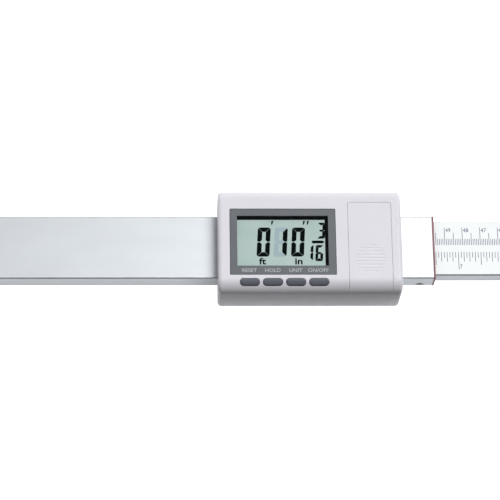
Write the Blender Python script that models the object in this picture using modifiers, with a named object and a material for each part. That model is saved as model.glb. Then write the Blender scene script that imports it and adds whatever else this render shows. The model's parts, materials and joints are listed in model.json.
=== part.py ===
"""Telescoping digital measuring rod with two jaws.

An aluminium outer profile carries the display housing and the head jaw. An inner
rod with a printed scale slides out of its mouth and carries the foot jaw.

Frame: origin at the centre of the housing's underside, +X along the rod towards
the foot jaw, -Y towards the side that the jaws reach out from, +Z up out of the
display. The undersides of the housing and of both jaws lie in the plane Z = 0.
"""
import math

import bmesh
import bpy
from mathutils import Matrix, Vector

MM = 0.001
GAP = 0.3 * MM              # running and seating clearance between two pieces
GLUE = 0.1 * MM             # clearance of a piece that is glued on
FLAT_GAP = Vector((0.15, 0.15)) * MM    # clearance round a plate in its recess
NEAR = 0.01 * MM            # how close two coordinates are to count as equal
THROUGH = 2.0 * MM          # how far a cutter runs past the face it opens

# Housing
HOUSING_LENGTH = 102.0 * MM
HOUSING_WIDTH = 60.1 * MM
HOUSING_HEIGHT = 29.0 * MM
HOUSING_FILLET = 7.6 * MM
HOUSING_END_FILLET = 2.3 * MM
HOUSING_FOOT_FILLET = 1.0 * MM
WALL = 2.0 * MM
HALF_LENGTH = HOUSING_LENGTH / 2
HALF_WIDTH = HOUSING_WIDTH / 2

# Bottom cover and the screws that hold the housing together
COVER_THICKNESS = 2.1 * MM
COVER_CORNER = 1.5 * MM
TONGUE_END_GAP = 0.5 * MM
BOSS_RADIUS = 3.0 * MM
BOSS_TOP = 14.6 * MM
BOSS_HOLE_TOP = 12.0 * MM
HEAD_RADIUS = 2.2 * MM
HEAD_SINK = 0.3 * MM
HEAD_HEIGHT = 0.8 * MM
SHANK_RADIUS = 1.2 * MM
SHANK_GAP = 0.2 * MM
HOUSING_SCREW_LENGTH = 10.0 * MM
HOUSING_SCREW_X = 46.2 * MM
HOUSING_SCREW_Y = 25.4 * MM
PROFILE_SCREW_LENGTH = 3.1 * MM
PROFILE_SCREW_X = (-30.0 * MM, 36.0 * MM)

# Outer profile and its red index ring
PROFILE_WIDTH = 36.9 * MM
PROFILE_BOTTOM = 2.5 * MM
PROFILE_TOP = 15.0 * MM
PROFILE_SIDE_WALL = 1.8 * MM
PROFILE_SKIN = 1.0 * MM
PROFILE_EDGE = 0.8 * MM
MOUTH_X = 70.7 * MM
RING_THICKNESS = 0.8 * MM
RING_PROUD = 0.2 * MM

# Friction screw in the profile's front wall
FRICTION_X = 62.55 * MM
FRICTION_Z = 5.4 * MM
FRICTION_RADIUS = 1.9 * MM
FRICTION_SINK = 0.35 * MM
FRICTION_LENGTH = 0.8 * MM
FRICTION_SOCKET = 1.0 * MM

# Inner rod with its encoder strip and printed label
ROD_WIDTH = 32.4 * MM
ROD_BOTTOM = 3.75 * MM
ROD_TOP = 13.35 * MM
ROD_SIDE_WALL = 1.6 * MM
ROD_TOP_SKIN = 2.0 * MM
ROD_BOTTOM_SKIN = 1.4 * MM
ROD_EDGE = 0.6 * MM
ROD_HIDDEN_LENGTH = 335.0 * MM
LABEL_WIDTH = 31.2 * MM
LABEL_THICKNESS = 0.15 * MM
LABEL_END_GAP = 0.8 * MM
STRIP_WIDTH = 14.0 * MM
STRIP_THICKNESS = 0.8 * MM
TAIL_HEAD_LENGTH = 6.0 * MM
TAIL_TENON_LENGTH = 12.0 * MM
TAIL_SIDE_GAP = 0.2 * MM
TAIL_EDGE = 0.6 * MM
TAIL_WALL = 2.0 * MM

# Readings: the measured length lies between the inner faces of the two jaws
CLOSED_READING = 350.0 * MM
REST_READING = 496.0 * MM
HEAD_FACE_X = MOUTH_X - CLOSED_READING
FOOT_FACE_X = HEAD_FACE_X + REST_READING
ROD_TAIL_X = FOOT_FACE_X - ROD_HIDDEN_LENGTH
STRIP_END_X = FOOT_FACE_X - LABEL_END_GAP

# Jaws
JAW_SOCKET = 20.0 * MM
JAW_END_WALL = 5.0 * MM
JAW_HEIGHT = 20.0 * MM
JAW_REACH = 135.0 * MM
JAW_ROOT = 12.0 * MM
JAW_TIP = 6.5 * MM
JAW_SHOULDER = 8.0 * MM
JAW_WEB = 3.2 * MM
JAW_RIM = 3.0 * MM
JAW_SIDE_WALL = 3.0 * MM
JAW_CORNER = 4.0 * MM
JAW_TIP_CORNER = 1.5 * MM
JAW_TOP_EDGE = 1.2 * MM
JAW_SCREW_Y = (-10.0 * MM, 10.0 * MM)
JAW_SCREW_BITE = 1.6 * MM

# Display stack, from the bezel plate down to the board
BEZEL_LOW = Vector((-44.3, -21.05)) * MM
BEZEL_HIGH = Vector((14.2, 17.45)) * MM
BEZEL_CORNER = 0.6 * MM
BEZEL_THICKNESS = 1.1 * MM
BEZEL_SINK = 0.1 * MM
BEZEL_RECESS = 1.4 * MM
WINDOW_LOW = Vector((-40.35, -15.8)) * MM
WINDOW_HIGH = Vector((10.1, 13.4)) * MM
LENS_SINK = 0.3 * MM
LENS_THICKNESS = 1.0 * MM
LCD_LOW = Vector((-41.6, -17.2)) * MM
LCD_HIGH = Vector((8.8, 12.0)) * MM
LCD_TOP = 27.2 * MM
LCD_THICKNESS = 1.8 * MM
FRAME_RIM = Vector((0.9, 0.9)) * MM
FRAME_LOW = LCD_LOW - FRAME_RIM
FRAME_HIGH = WINDOW_HIGH + FRAME_RIM
ZEBRA_INSET = 2.0 * MM
ZEBRA_WIDTH = 2.0 * MM

# Boards
BOARD_LOW = Vector((-47.6, -27.2)) * MM
BOARD_HIGH = Vector((20.3, 26.0)) * MM
BOARD_BOTTOM = 21.0 * MM
BOARD_THICKNESS = 1.2 * MM
BOARD_TOP = BOARD_BOTTOM + BOARD_THICKNESS
BOARD_SCREWS = ((-46.0 * MM, 21.5 * MM), (18.0 * MM, 21.5 * MM),
                (-46.0 * MM, -10.0 * MM), (18.0 * MM, -10.0 * MM))
BOARD_BOSS = 2.3 * MM
BOARD_HEAD = 1.8 * MM
BOARD_HEAD_HEIGHT = 1.2 * MM
BOARD_SHANK = 0.9 * MM
BOARD_SCREW_LENGTH = 4.6 * MM
BOARD_HOLE_TOP = 25.7 * MM
CHIP_LOW = Vector((-24.0, 2.0)) * MM
CHIP_SIZE = 12.0 * MM
CHIP_HEIGHT = 1.5 * MM
SENSOR_LOW = Vector((-12.0, -12.0)) * MM
SENSOR_HIGH = Vector((14.0, 12.0)) * MM
SENSOR_HEIGHT = 0.6 * MM
SENSOR_THICKNESS = 1.0 * MM
HOLDER_MARGIN = Vector((4.0, 3.0)) * MM
HOLDER_RIM = Vector((3.0, 3.0)) * MM
HOLDER_THICKNESS = 2.0 * MM
FLEX_WIDTH = 8.0 * MM
FLEX_THICKNESS = 0.3 * MM
FLEX_TAB = 4.0 * MM

# Keys and the switches under them
KEY_NAMES = ("reset", "hold", "unit", "power")
KEY_FIRST_X = -33.55 * MM
KEY_PITCH = 12.7 * MM
KEY_Y = -25.2 * MM
KEY_LENGTH = 10.9 * MM
KEY_WIDTH = 3.9 * MM
KEY_CLEAR = 0.22 * MM
KEY_PROUD = 0.5 * MM
KEY_BOTTOM = 25.0 * MM
FLANGE_BOTTOM = 25.1 * MM
FLANGE_THICKNESS = 0.8 * MM
FLANGE_OVERHANG = 0.6 * MM
FLANGE_REACH = 3.2 * MM
SWITCH_LENGTH = 4.6 * MM
SWITCH_WIDTH = 3.2 * MM
SWITCH_TOP = 23.7 * MM
STEM_RADIUS = 1.0 * MM
STEM_TOP = 24.35 * MM
STEM_LENGTH = 1.6 * MM

# Battery cover and compartment
DOOR_LOW_X = 21.4 * MM
DOOR_HIGH_X = 45.25 * MM
DOOR_BACK_Y = 21.35 * MM
DOOR_SKIRT_Z = 23.2 * MM
DOOR_THICKNESS = 1.6 * MM
DOOR_CENTRE_X = (DOOR_LOW_X + DOOR_HIGH_X) / 2
GRIP_CENTRE = Vector((33.4, -11.5)) * MM
GRIP_RADIUS = 8.5 * MM
GRIP_PITCH = 1.95 * MM
GROOVE_WIDTH = 0.6 * MM
GROOVE_DEPTH = 0.35 * MM
CELL_RADIUS = 5.25 * MM
CELL_LENGTH = 44.5 * MM
CELL_NUB = 1.0 * MM
CELL_NUB_RADIUS = 1.9 * MM
CELL_ROLL = 0.8 * MM
CELL_EDGE = 0.4 * MM
CELL_SPACING = 11.2 * MM
CELL_FLOAT = 0.2 * MM
TRAY_WALL = 0.7 * MM
TRAY_LOW_Y = -27.8 * MM
TRAY_SIDE_GAP = 0.25 * MM
TRAY_END_PLAY = 0.9 * MM
CONTACT_THICKNESS = 0.4 * MM
CONTACT_WIDTH = 8.8 * MM
CONTACT_SEAT = 0.15 * MM
CONTACT_RISE = 2.4 * MM
SPRING_LENGTH = 3.6 * MM
SPRING_WIRE = 0.3 * MM
SPRING_BASE_RADIUS = 3.6 * MM
SPRING_TIP_RADIUS = 2.2 * MM
SPRING_TURNS = 3
SPRING_STEPS_PER_TURN = 10

# Finishes: linear colour, roughness, metallic
WHITE_PLASTIC = ((0.74, 0.74, 0.79), 0.42, 0.0)
GREY_PLASTIC = ((0.15, 0.17, 0.19), 0.45, 0.0)
DARK_PLASTIC = ((0.10, 0.11, 0.14), 0.5, 0.0)
BLACK_PLASTIC = ((0.01, 0.011, 0.012), 0.5, 0.0)
CLEAR_PLASTIC = ((0.9, 0.92, 0.92), 0.05, 0.0)
RED_PLASTIC = ((0.3, 0.04, 0.06), 0.5, 0.0)
NYLON = ((0.62, 0.6, 0.55), 0.5, 0.0)
SILICONE = ((0.3, 0.3, 0.32), 0.7, 0.0)
ALUMINIUM = ((0.72, 0.74, 0.76), 0.35, 1.0)
STEEL = ((0.5, 0.5, 0.52), 0.3, 1.0)
NICKEL = ((0.66, 0.63, 0.56), 0.25, 1.0)
LCD_GREEN = ((0.42, 0.54, 0.51), 0.3, 0.0)
BOARD_GREEN = ((0.03, 0.16, 0.08), 0.5, 0.0)
LABEL_WHITE = ((0.86, 0.88, 0.88), 0.4, 0.0)
AMBER_FILM = ((0.45, 0.2, 0.04), 0.4, 0.0)
CELL_SLEEVE = ((0.1, 0.12, 0.3), 0.35, 0.2)


# ---------------------------------------------------------------- scene and materials

def clear_scene():
    for obj in list(bpy.data.objects):
        bpy.data.objects.remove(obj, do_unlink=True)


def new_collection(name):
    collection = bpy.data.collections.new(name)
    bpy.context.scene.collection.children.link(collection)
    return collection


clear_scene()
PARTS = new_collection("measuring_rod")
CUTTERS = new_collection("cutters")


def new_material(name, colour, roughness, metallic):
    finish = bpy.data.materials.new(name)
    finish.use_nodes = True
    shader = finish.node_tree.nodes["Principled BSDF"]
    shader.inputs["Base Color"].default_value = (*colour, 1.0)
    shader.inputs["Roughness"].default_value = roughness
    shader.inputs["Metallic"].default_value = metallic
    return finish


# ---------------------------------------------------------------- modelling helpers

def add_object(name, data, finish, location):
    """A named part, or a cutter when it has no finish."""
    obj = bpy.data.objects.new(name, data)
    obj.location = location
    if finish is None:
        CUTTERS.objects.link(obj)
        obj.hide_render = True
        obj.display_type = "WIRE"
    else:
        PARTS.objects.link(obj)
        data.materials.append(new_material(name + "_finish", *finish))
    return obj


def block(name, low, high, finish=None):
    """A box between two corners."""
    low, high = Vector(low), Vector(high)
    mesh = bpy.data.meshes.new(name)
    bm = bmesh.new()
    size = Matrix.Diagonal((*(high - low), 1.0))
    bmesh.ops.create_cube(bm, size=1.0, matrix=size)
    bm.to_mesh(mesh)
    bm.free()
    return add_object(name, mesh, finish, (low + high) / 2)


def plate(name, low, high, bottom, top, finish=None):
    """A box between two corners in X and Y and two heights."""
    return block(name, (*low, bottom), (*high, top), finish)


def cylinder(name, centre, radius, length, finish=None, sides=16, lying=False):
    """An upright cylinder, or one that lies along Y."""
    turn = Matrix.Rotation(math.radians(-90), 4, "X") if lying else Matrix.Identity(4)
    mesh = bpy.data.meshes.new(name)
    bm = bmesh.new()
    bmesh.ops.create_cone(bm, cap_ends=True, segments=sides, radius1=radius,
                          radius2=radius, depth=length, matrix=turn)
    bm.to_mesh(mesh)
    bm.free()
    return add_object(name, mesh, finish, centre)


def hole(name, x, y, bottom, top, radius, sides=12):
    """An upright cutter between two heights."""
    return cylinder(name, (x, y, (bottom + top) / 2), radius, top - bottom, sides=sides)


def turned(name, profile, location, rotation, finish, steps):
    """A solid of revolution about its local Z; the profile runs from top to bottom."""
    mesh = bpy.data.meshes.new(name)
    points = [(radius, 0.0, height) for radius, height in profile]
    edges = [(i, i + 1) for i in range(len(points) - 1)]
    mesh.from_pydata(points, edges, [])
    obj = add_object(name, mesh, finish, location)
    obj.rotation_euler = rotation
    screw = obj.modifiers.new("turn", "SCREW")
    screw.steps = steps
    screw.render_steps = steps
    screw.use_merge_vertices = True
    screw.merge_threshold = 0.00001
    screw.use_smooth_shade = True
    return obj


def wire(name, points, radius, finish):
    curve = bpy.data.curves.new(name, "CURVE")
    curve.dimensions = "3D"
    curve.bevel_depth = radius
    curve.bevel_resolution = 2
    curve.use_fill_caps = True
    spline = curve.splines.new("POLY")
    spline.points.add(len(points) - 1)
    for point, place in zip(spline.points, points):
        point.co = (*place, 1.0)
    return add_object(name, curve, finish, (0, 0, 0))


def slab(name, outline, bottom, top, finish=None):
    """A flat outline in X and Y, extruded from one height to another."""
    curve = bpy.data.curves.new(name, "CURVE")
    curve.dimensions = "2D"
    curve.fill_mode = "BOTH"
    curve.extrude = (top - bottom) / 2
    spline = curve.splines.new("POLY")
    spline.points.add(len(outline) - 1)
    for point, place in zip(spline.points, outline):
        point.co = (place[0], place[1], 0.0, 1.0)
    spline.use_cyclic_u = True
    drawn = bpy.data.objects.new(name + "_outline", curve)
    CUTTERS.objects.link(drawn)
    bpy.context.view_layer.update()
    evaluated = drawn.evaluated_get(bpy.context.evaluated_depsgraph_get())
    mesh = bpy.data.meshes.new_from_object(evaluated)
    bpy.data.objects.remove(drawn, do_unlink=True)
    bm = bmesh.new()
    bm.from_mesh(mesh)
    bmesh.ops.remove_doubles(bm, verts=bm.verts, dist=0.00001)
    bmesh.ops.dissolve_limit(bm, angle_limit=0.01, verts=bm.verts, edges=bm.edges)
    bmesh.ops.recalc_face_normals(bm, faces=bm.faces)
    bm.to_mesh(mesh)
    bm.free()
    return add_object(name, mesh, finish, (0, 0, (top + bottom) / 2))


def stadium(x, y, length, width, steps=8):
    """Outline of a bar along X with half-round ends."""
    radius = width / 2
    reach = length / 2 - radius
    outline = []
    for side, start in ((1, -90), (-1, 90)):
        for step in range(steps + 1):
            angle = math.radians(start + 180 * step / steps)
            outline.append((x + side * reach + radius * math.cos(angle),
                            y + radius * math.sin(angle)))
    return outline


def round_edges(obj, radius, segments, chosen):
    """Round the edges whose two end points (world, metres) pass the test."""
    place = obj.location
    bm = bmesh.new()
    bm.from_mesh(obj.data)
    picked = [edge for edge in bm.edges
              if chosen(edge.verts[0].co + place, edge.verts[1].co + place)]
    bmesh.ops.bevel(bm, geom=picked, offset=radius, segments=segments, profile=0.5,
                    affect="EDGES", clamp_overlap=True)
    bm.to_mesh(obj.data)
    bm.free()


def runs_along(index):
    """A test for edges that run along one axis (0, 1 or 2)."""
    def test(a, b):
        return all(abs(a[i] - b[i]) < NEAR for i in range(3) if i != index)
    return test


ALONG_X = runs_along(0)
ALONG_Z = runs_along(2)


def combine(obj, operation, others):
    for other in others:
        modifier = obj.modifiers.new(operation.lower(), "BOOLEAN")
        modifier.operation = operation
        modifier.solver = "EXACT"
        modifier.object = other


def cut(obj, *cutters):
    combine(obj, "DIFFERENCE", cutters)


def join(obj, *additions):
    combine(obj, "UNION", additions)


def keep_inside(obj, *limits):
    combine(obj, "INTERSECT", limits)


def screw(name, x, y, bottom, head_radius, head_height, shank_radius, length):
    """A screw that points up, with a dimpled head at its bottom end."""
    tip = shank_radius / 2
    profile = [(0.0, length),
               (shank_radius - tip, length),
               (shank_radius, length - tip),
               (shank_radius, head_height),
               (head_radius, head_height),
               (head_radius, 0.0),
               (head_radius / 2, 0.0),
               (0.0, head_height / 2)]
    turned(name, profile, (x, y, bottom), (0, 0, 0), STEEL, steps=12)


def skin(name, offset, bottom, finish=None, segments=6):
    """The housing's outer form, grown or shrunk by an offset."""
    x = HALF_LENGTH + offset
    y = HALF_WIDTH + offset
    top = HOUSING_HEIGHT + offset
    body = block(name, (-x, -y, bottom), (x, y, top), finish)
    round_edges(body, HOUSING_FILLET + offset, segments,
                lambda a, b: ALONG_X(a, b) and a.z > top - NEAR)
    if HOUSING_END_FILLET + offset > GAP:
        round_edges(body, HOUSING_END_FILLET + offset, 4,
                    lambda a, b: abs(a.x + b.x) > 2 * (x - NEAR)
                    and max(a.z, b.z) > bottom + NEAR)
    if offset == 0:
        round_edges(body, HOUSING_FOOT_FILLET, 2,
                    lambda a, b: max(a.z, b.z) < bottom + NEAR)
    return body


# ---------------------------------------------------------------- outer profile

def build_profile():
    half = PROFILE_WIDTH / 2
    bore_half = half - PROFILE_SIDE_WALL
    left = HEAD_FACE_X - JAW_SOCKET + GAP
    right = MOUTH_X - RING_THICKNESS - GLUE
    profile = block("outer_profile", (left, -half, PROFILE_BOTTOM),
                    (right, half, PROFILE_TOP), ALUMINIUM)
    round_edges(profile, PROFILE_EDGE, 3, ALONG_X)
    bore = block("profile_bore",
                 (left - THROUGH, -bore_half, PROFILE_BOTTOM + PROFILE_SKIN),
                 (right + THROUGH, bore_half, PROFILE_TOP - PROFILE_SKIN))
    clear = Vector((GAP, GAP))
    window = plate("profile_window", SENSOR_LOW - clear, SENSOR_HIGH + clear,
                   ROD_TOP, PROFILE_TOP + THROUGH)
    side_hole = cylinder("friction_hole", (FRICTION_X, -half, FRICTION_Z),
                         FRICTION_RADIUS + GAP, 3 * PROFILE_SIDE_WALL, lying=True)
    cut(profile, bore, window, side_hole)
    screw_places = [(x, 0.0) for x in PROFILE_SCREW_X]
    screw_places += [(HEAD_FACE_X - JAW_SOCKET / 2, y) for y in JAW_SCREW_Y]
    for index, (x, y) in enumerate(screw_places):
        cut(profile, hole(f"profile_screw_hole_{index + 1}", x, y,
                          PROFILE_BOTTOM - PROFILE_SKIN, ROD_BOTTOM + PROFILE_SKIN,
                          SHANK_RADIUS + SHANK_GAP))


def build_index_ring():
    half = PROFILE_WIDTH / 2 + RING_PROUD
    left = MOUTH_X - RING_THICKNESS
    ring = block("red_index_ring", (left, -half, PROFILE_BOTTOM - RING_PROUD),
                 (MOUTH_X, half, PROFILE_TOP + RING_PROUD), RED_PLASTIC)
    round_edges(ring, PROFILE_EDGE, 3, ALONG_X)
    opening = PROFILE_WIDTH / 2 - PROFILE_SIDE_WALL
    cut(ring, block("ring_opening",
                    (left - THROUGH, -opening, PROFILE_BOTTOM + PROFILE_SKIN),
                    (MOUTH_X + THROUGH, opening, PROFILE_TOP - PROFILE_SKIN)))


def build_friction_stop():
    """A grub screw in the profile's front wall that presses a pad on the rod."""
    face = -PROFILE_WIDTH / 2 + FRICTION_SINK
    back = face + FRICTION_LENGTH
    grub = cylinder("friction_screw", (FRICTION_X, (face + back) / 2, FRICTION_Z),
                    FRICTION_RADIUS, FRICTION_LENGTH, STEEL, lying=True)
    cut(grub, cylinder("friction_screw_socket", (FRICTION_X, face, FRICTION_Z),
                       FRICTION_SOCKET, FRICTION_LENGTH, sides=6, lying=True))
    pad_front = back + GLUE
    pad_back = -ROD_WIDTH / 2 - GAP / 2
    cylinder("friction_pad", (FRICTION_X, (pad_front + pad_back) / 2, FRICTION_Z),
             FRICTION_RADIUS, pad_back - pad_front, NYLON, lying=True)


# ---------------------------------------------------------------- inner rod

def build_rod():
    half = ROD_WIDTH / 2
    bore_half = half - ROD_SIDE_WALL
    right = FOOT_FACE_X + JAW_SOCKET - GAP
    rod = block("inner_rod", (ROD_TAIL_X, -half, ROD_BOTTOM), (right, half, ROD_TOP),
                ALUMINIUM)
    round_edges(rod, ROD_EDGE, 2, ALONG_X)
    bore = block("rod_bore",
                 (ROD_TAIL_X - THROUGH, -bore_half, ROD_BOTTOM + ROD_BOTTOM_SKIN),
                 (right + THROUGH, bore_half, ROD_TOP - ROD_TOP_SKIN))
    groove_half = (STRIP_WIDTH + GAP) / 2
    groove = block("rod_groove",
                   (ROD_TAIL_X - THROUGH, -groove_half, ROD_TOP - STRIP_THICKNESS - GLUE),
                   (STRIP_END_X + GAP, groove_half, ROD_TOP + THROUGH))
    cut(rod, bore, groove)
    for index, y in enumerate(JAW_SCREW_Y):
        cut(rod, hole(f"rod_screw_hole_{index + 1}", FOOT_FACE_X + JAW_SOCKET / 2, y,
                      ROD_BOTTOM - THROUGH, ROD_BOTTOM + ROD_BOTTOM_SKIN + GAP,
                      SHANK_RADIUS + SHANK_GAP))
    left = ROD_TAIL_X + GAP
    strip_top = ROD_TOP - GLUE / 2
    block("encoder_strip", (left, -STRIP_WIDTH / 2, strip_top - STRIP_THICKNESS),
          (STRIP_END_X, STRIP_WIDTH / 2, strip_top), AMBER_FILM)
    label_bottom = ROD_TOP + GLUE / 2
    block("scale_label", (left, -LABEL_WIDTH / 2, label_bottom),
          (STRIP_END_X, LABEL_WIDTH / 2, label_bottom + LABEL_THICKNESS), LABEL_WHITE)


def build_tail_guide():
    """A nylon plug in the rod's hidden end that runs in the outer profile."""
    right = ROD_TAIL_X - GLUE
    left = right - TAIL_HEAD_LENGTH
    half = PROFILE_WIDTH / 2 - PROFILE_SIDE_WALL - TAIL_SIDE_GAP
    guide = block("tail_guide", (left, -half, PROFILE_BOTTOM + PROFILE_SKIN + GAP / 2),
                  (right, half, PROFILE_TOP - PROFILE_SKIN - TAIL_SIDE_GAP), NYLON)
    round_edges(guide, TAIL_EDGE, 2, ALONG_X)
    tenon_half = ROD_WIDTH / 2 - ROD_SIDE_WALL - GAP / 2
    tenon_bottom = ROD_BOTTOM + ROD_BOTTOM_SKIN + GAP / 2
    tenon_top = ROD_TOP - ROD_TOP_SKIN - GAP / 2
    tenon = block("tail_tenon", (left + TAIL_HEAD_LENGTH / 2, -tenon_half, tenon_bottom),
                  (right + TAIL_TENON_LENGTH, tenon_half, tenon_top))
    hollow = block("tail_hollow",
                   (left - THROUGH, TAIL_WALL - tenon_half, tenon_bottom + TAIL_WALL),
                   (right + 2 * TAIL_TENON_LENGTH, tenon_half - TAIL_WALL,
                    tenon_top - TAIL_WALL))
    join(guide, tenon)
    cut(guide, hollow)


# ---------------------------------------------------------------- jaws

def build_jaw(name, face_x, outward, socket_half, socket_bottom, socket_top):
    """A jaw whose measuring face is at face_x; outward is -1 (left) or +1 (right)."""
    sleeve_half = socket_half + JAW_SIDE_WALL
    back_x = face_x + outward * (JAW_SOCKET + JAW_END_WALL)
    tip_y = -JAW_REACH
    outline = [(face_x, sleeve_half),
               (face_x, tip_y),
               (face_x + outward * JAW_TIP, tip_y),
               (face_x + outward * JAW_ROOT, -sleeve_half - JAW_SHOULDER),
               (back_x, -sleeve_half),
               (back_x, sleeve_half)]
    jaw = slab(name, outline, 0.0, JAW_HEIGHT, WHITE_PLASTIC)
    round_edges(jaw, JAW_CORNER, 4,
                lambda a, b: ALONG_Z(a, b) and abs(a.x - back_x) < NEAR)
    round_edges(jaw, JAW_TIP_CORNER, 3,
                lambda a, b: ALONG_Z(a, b) and abs(a.y - tip_y) < NEAR)
    round_edges(jaw, JAW_TOP_EDGE, 2,
                lambda a, b: min(a.z, b.z) > JAW_HEIGHT - NEAR)

    low_x, high_x = sorted((face_x - outward * THROUGH, face_x + outward * JAW_SOCKET))
    cut(jaw, block(name + "_socket", (low_x, -socket_half - GAP, socket_bottom - GAP),
                   (high_x, socket_half + GAP, socket_top + GAP)))
    low_x, high_x = sorted((face_x + outward * JAW_WEB, face_x + outward * 2 * JAW_ROOT))
    pocket_end = -sleeve_half - JAW_SHOULDER - THROUGH
    pocket_length = (pocket_end - tip_y) / 2 - JAW_RIM
    for index in range(2):
        start = tip_y + JAW_RIM + index * (pocket_length + JAW_RIM)
        cut(jaw, block(f"{name}_pocket_{index + 1}", (low_x, start, JAW_RIM),
                       (high_x, start + pocket_length, JAW_HEIGHT - JAW_RIM)))
    for index, y in enumerate(JAW_SCREW_Y):
        x = face_x + outward * JAW_SOCKET / 2
        head_top = HEAD_SINK + HEAD_HEIGHT + GLUE
        cut(jaw,
            hole(f"{name}_head_hole_{index + 1}", x, y, -THROUGH, head_top,
                 HEAD_RADIUS + GAP, sides=16),
            hole(f"{name}_shank_hole_{index + 1}", x, y, -THROUGH,
                 socket_bottom + GAP, SHANK_RADIUS + SHANK_GAP))
        screw(f"{name}_screw_{index + 1}", x, y, HEAD_SINK, HEAD_RADIUS, HEAD_HEIGHT,
              SHANK_RADIUS, socket_bottom + JAW_SCREW_BITE)


# ---------------------------------------------------------------- housing

def corner_places():
    return [(x, y) for x in (-HOUSING_SCREW_X, HOUSING_SCREW_X)
            for y in (-HOUSING_SCREW_Y, HOUSING_SCREW_Y)]


def key_x(index):
    return KEY_FIRST_X + index * KEY_PITCH


def add_bosses(shell):
    """Screw bosses in the corners, and four that hang from the top for the board."""
    for index, (x, y) in enumerate(corner_places()):
        join(shell, hole(f"corner_boss_{index + 1}", x, y, COVER_THICKNESS + GAP,
                         BOSS_TOP, BOSS_RADIUS, sides=16))
        cut(shell, hole(f"corner_hole_{index + 1}", x, y, -THROUGH, BOSS_HOLE_TOP,
                        SHANK_RADIUS + SHANK_GAP))
    for index, (x, y) in enumerate(BOARD_SCREWS):
        join(shell, hole(f"board_boss_{index + 1}", x, y, BOARD_TOP + GAP,
                         HOUSING_HEIGHT - WALL / 2, BOARD_BOSS))
        cut(shell, hole(f"board_boss_hole_{index + 1}", x, y, BOARD_BOTTOM,
                        BOARD_HOLE_TOP, BOARD_SHANK + SHANK_GAP))


def build_top_shell():
    shell = skin("top_shell", 0.0, 0.0, WHITE_PLASTIC)
    cut(shell, skin("shell_inside", -WALL, -THROUGH))
    add_bosses(shell)
    slot_half = PROFILE_WIDTH / 2 + GAP
    slot = block("shell_slot", (-HOUSING_LENGTH, -slot_half, -THROUGH),
                 (HOUSING_LENGTH, slot_half, PROFILE_TOP + GAP))
    recess = plate("bezel_recess", BEZEL_LOW - FLAT_GAP, BEZEL_HIGH + FLAT_GAP,
                   HOUSING_HEIGHT - BEZEL_RECESS, HOUSING_HEIGHT + THROUGH)
    round_edges(recess, BEZEL_CORNER + FLAT_GAP.x, 3, ALONG_Z)
    opening = plate("display_opening", FRAME_LOW - FLAT_GAP, FRAME_HIGH + FLAT_GAP,
                    BOARD_TOP, HOUSING_HEIGHT + THROUGH)
    door_way = block("door_way", (DOOR_LOW_X - GAP, -HOUSING_WIDTH, DOOR_SKIRT_Z - GAP),
                     (DOOR_HIGH_X + GAP, DOOR_BACK_Y + GAP, HOUSING_HEIGHT + THROUGH))
    cut(shell, slot, recess, opening, door_way)
    for index, name in enumerate(KEY_NAMES):
        outline = stadium(key_x(index), KEY_Y, KEY_LENGTH + 2 * KEY_CLEAR,
                          KEY_WIDTH + 2 * KEY_CLEAR)
        cut(shell, slab(f"key_hole_{name}", outline, BOARD_TOP, HOUSING_HEIGHT + THROUGH))


def build_bottom_cover():
    x = HALF_LENGTH - WALL - GAP
    y = HALF_WIDTH - WALL - GAP
    cover = block("bottom_cover", (-x, -y, 0.0), (x, y, COVER_THICKNESS), WHITE_PLASTIC)
    round_edges(cover, COVER_CORNER, 3, ALONG_Z)
    tongue_x = HALF_LENGTH - TONGUE_END_GAP
    tongue_y = PROFILE_WIDTH / 2 - GAP
    join(cover, block("cover_tongue", (-tongue_x, -tongue_y, 0.0),
                      (tongue_x, tongue_y, COVER_THICKNESS)))
    corners = [(*place, HOUSING_SCREW_LENGTH) for place in corner_places()]
    middle = [(x, 0.0, PROFILE_SCREW_LENGTH) for x in PROFILE_SCREW_X]
    for index, (x, y, length) in enumerate(corners + middle):
        kind, number = ("housing", index + 1) if index < 4 else ("profile", index - 3)
        cut(cover,
            hole(f"{kind}_head_hole_{number}", x, y, -THROUGH,
                 HEAD_SINK + HEAD_HEIGHT + GLUE, HEAD_RADIUS + GAP / 2, sides=16),
            hole(f"{kind}_shank_hole_{number}", x, y, -THROUGH,
                 COVER_THICKNESS + THROUGH, SHANK_RADIUS + SHANK_GAP))
        screw(f"{kind}_screw_{number}", x, y, HEAD_SINK, HEAD_RADIUS, HEAD_HEIGHT,
              SHANK_RADIUS, length)


# ---------------------------------------------------------------- display and boards

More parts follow.
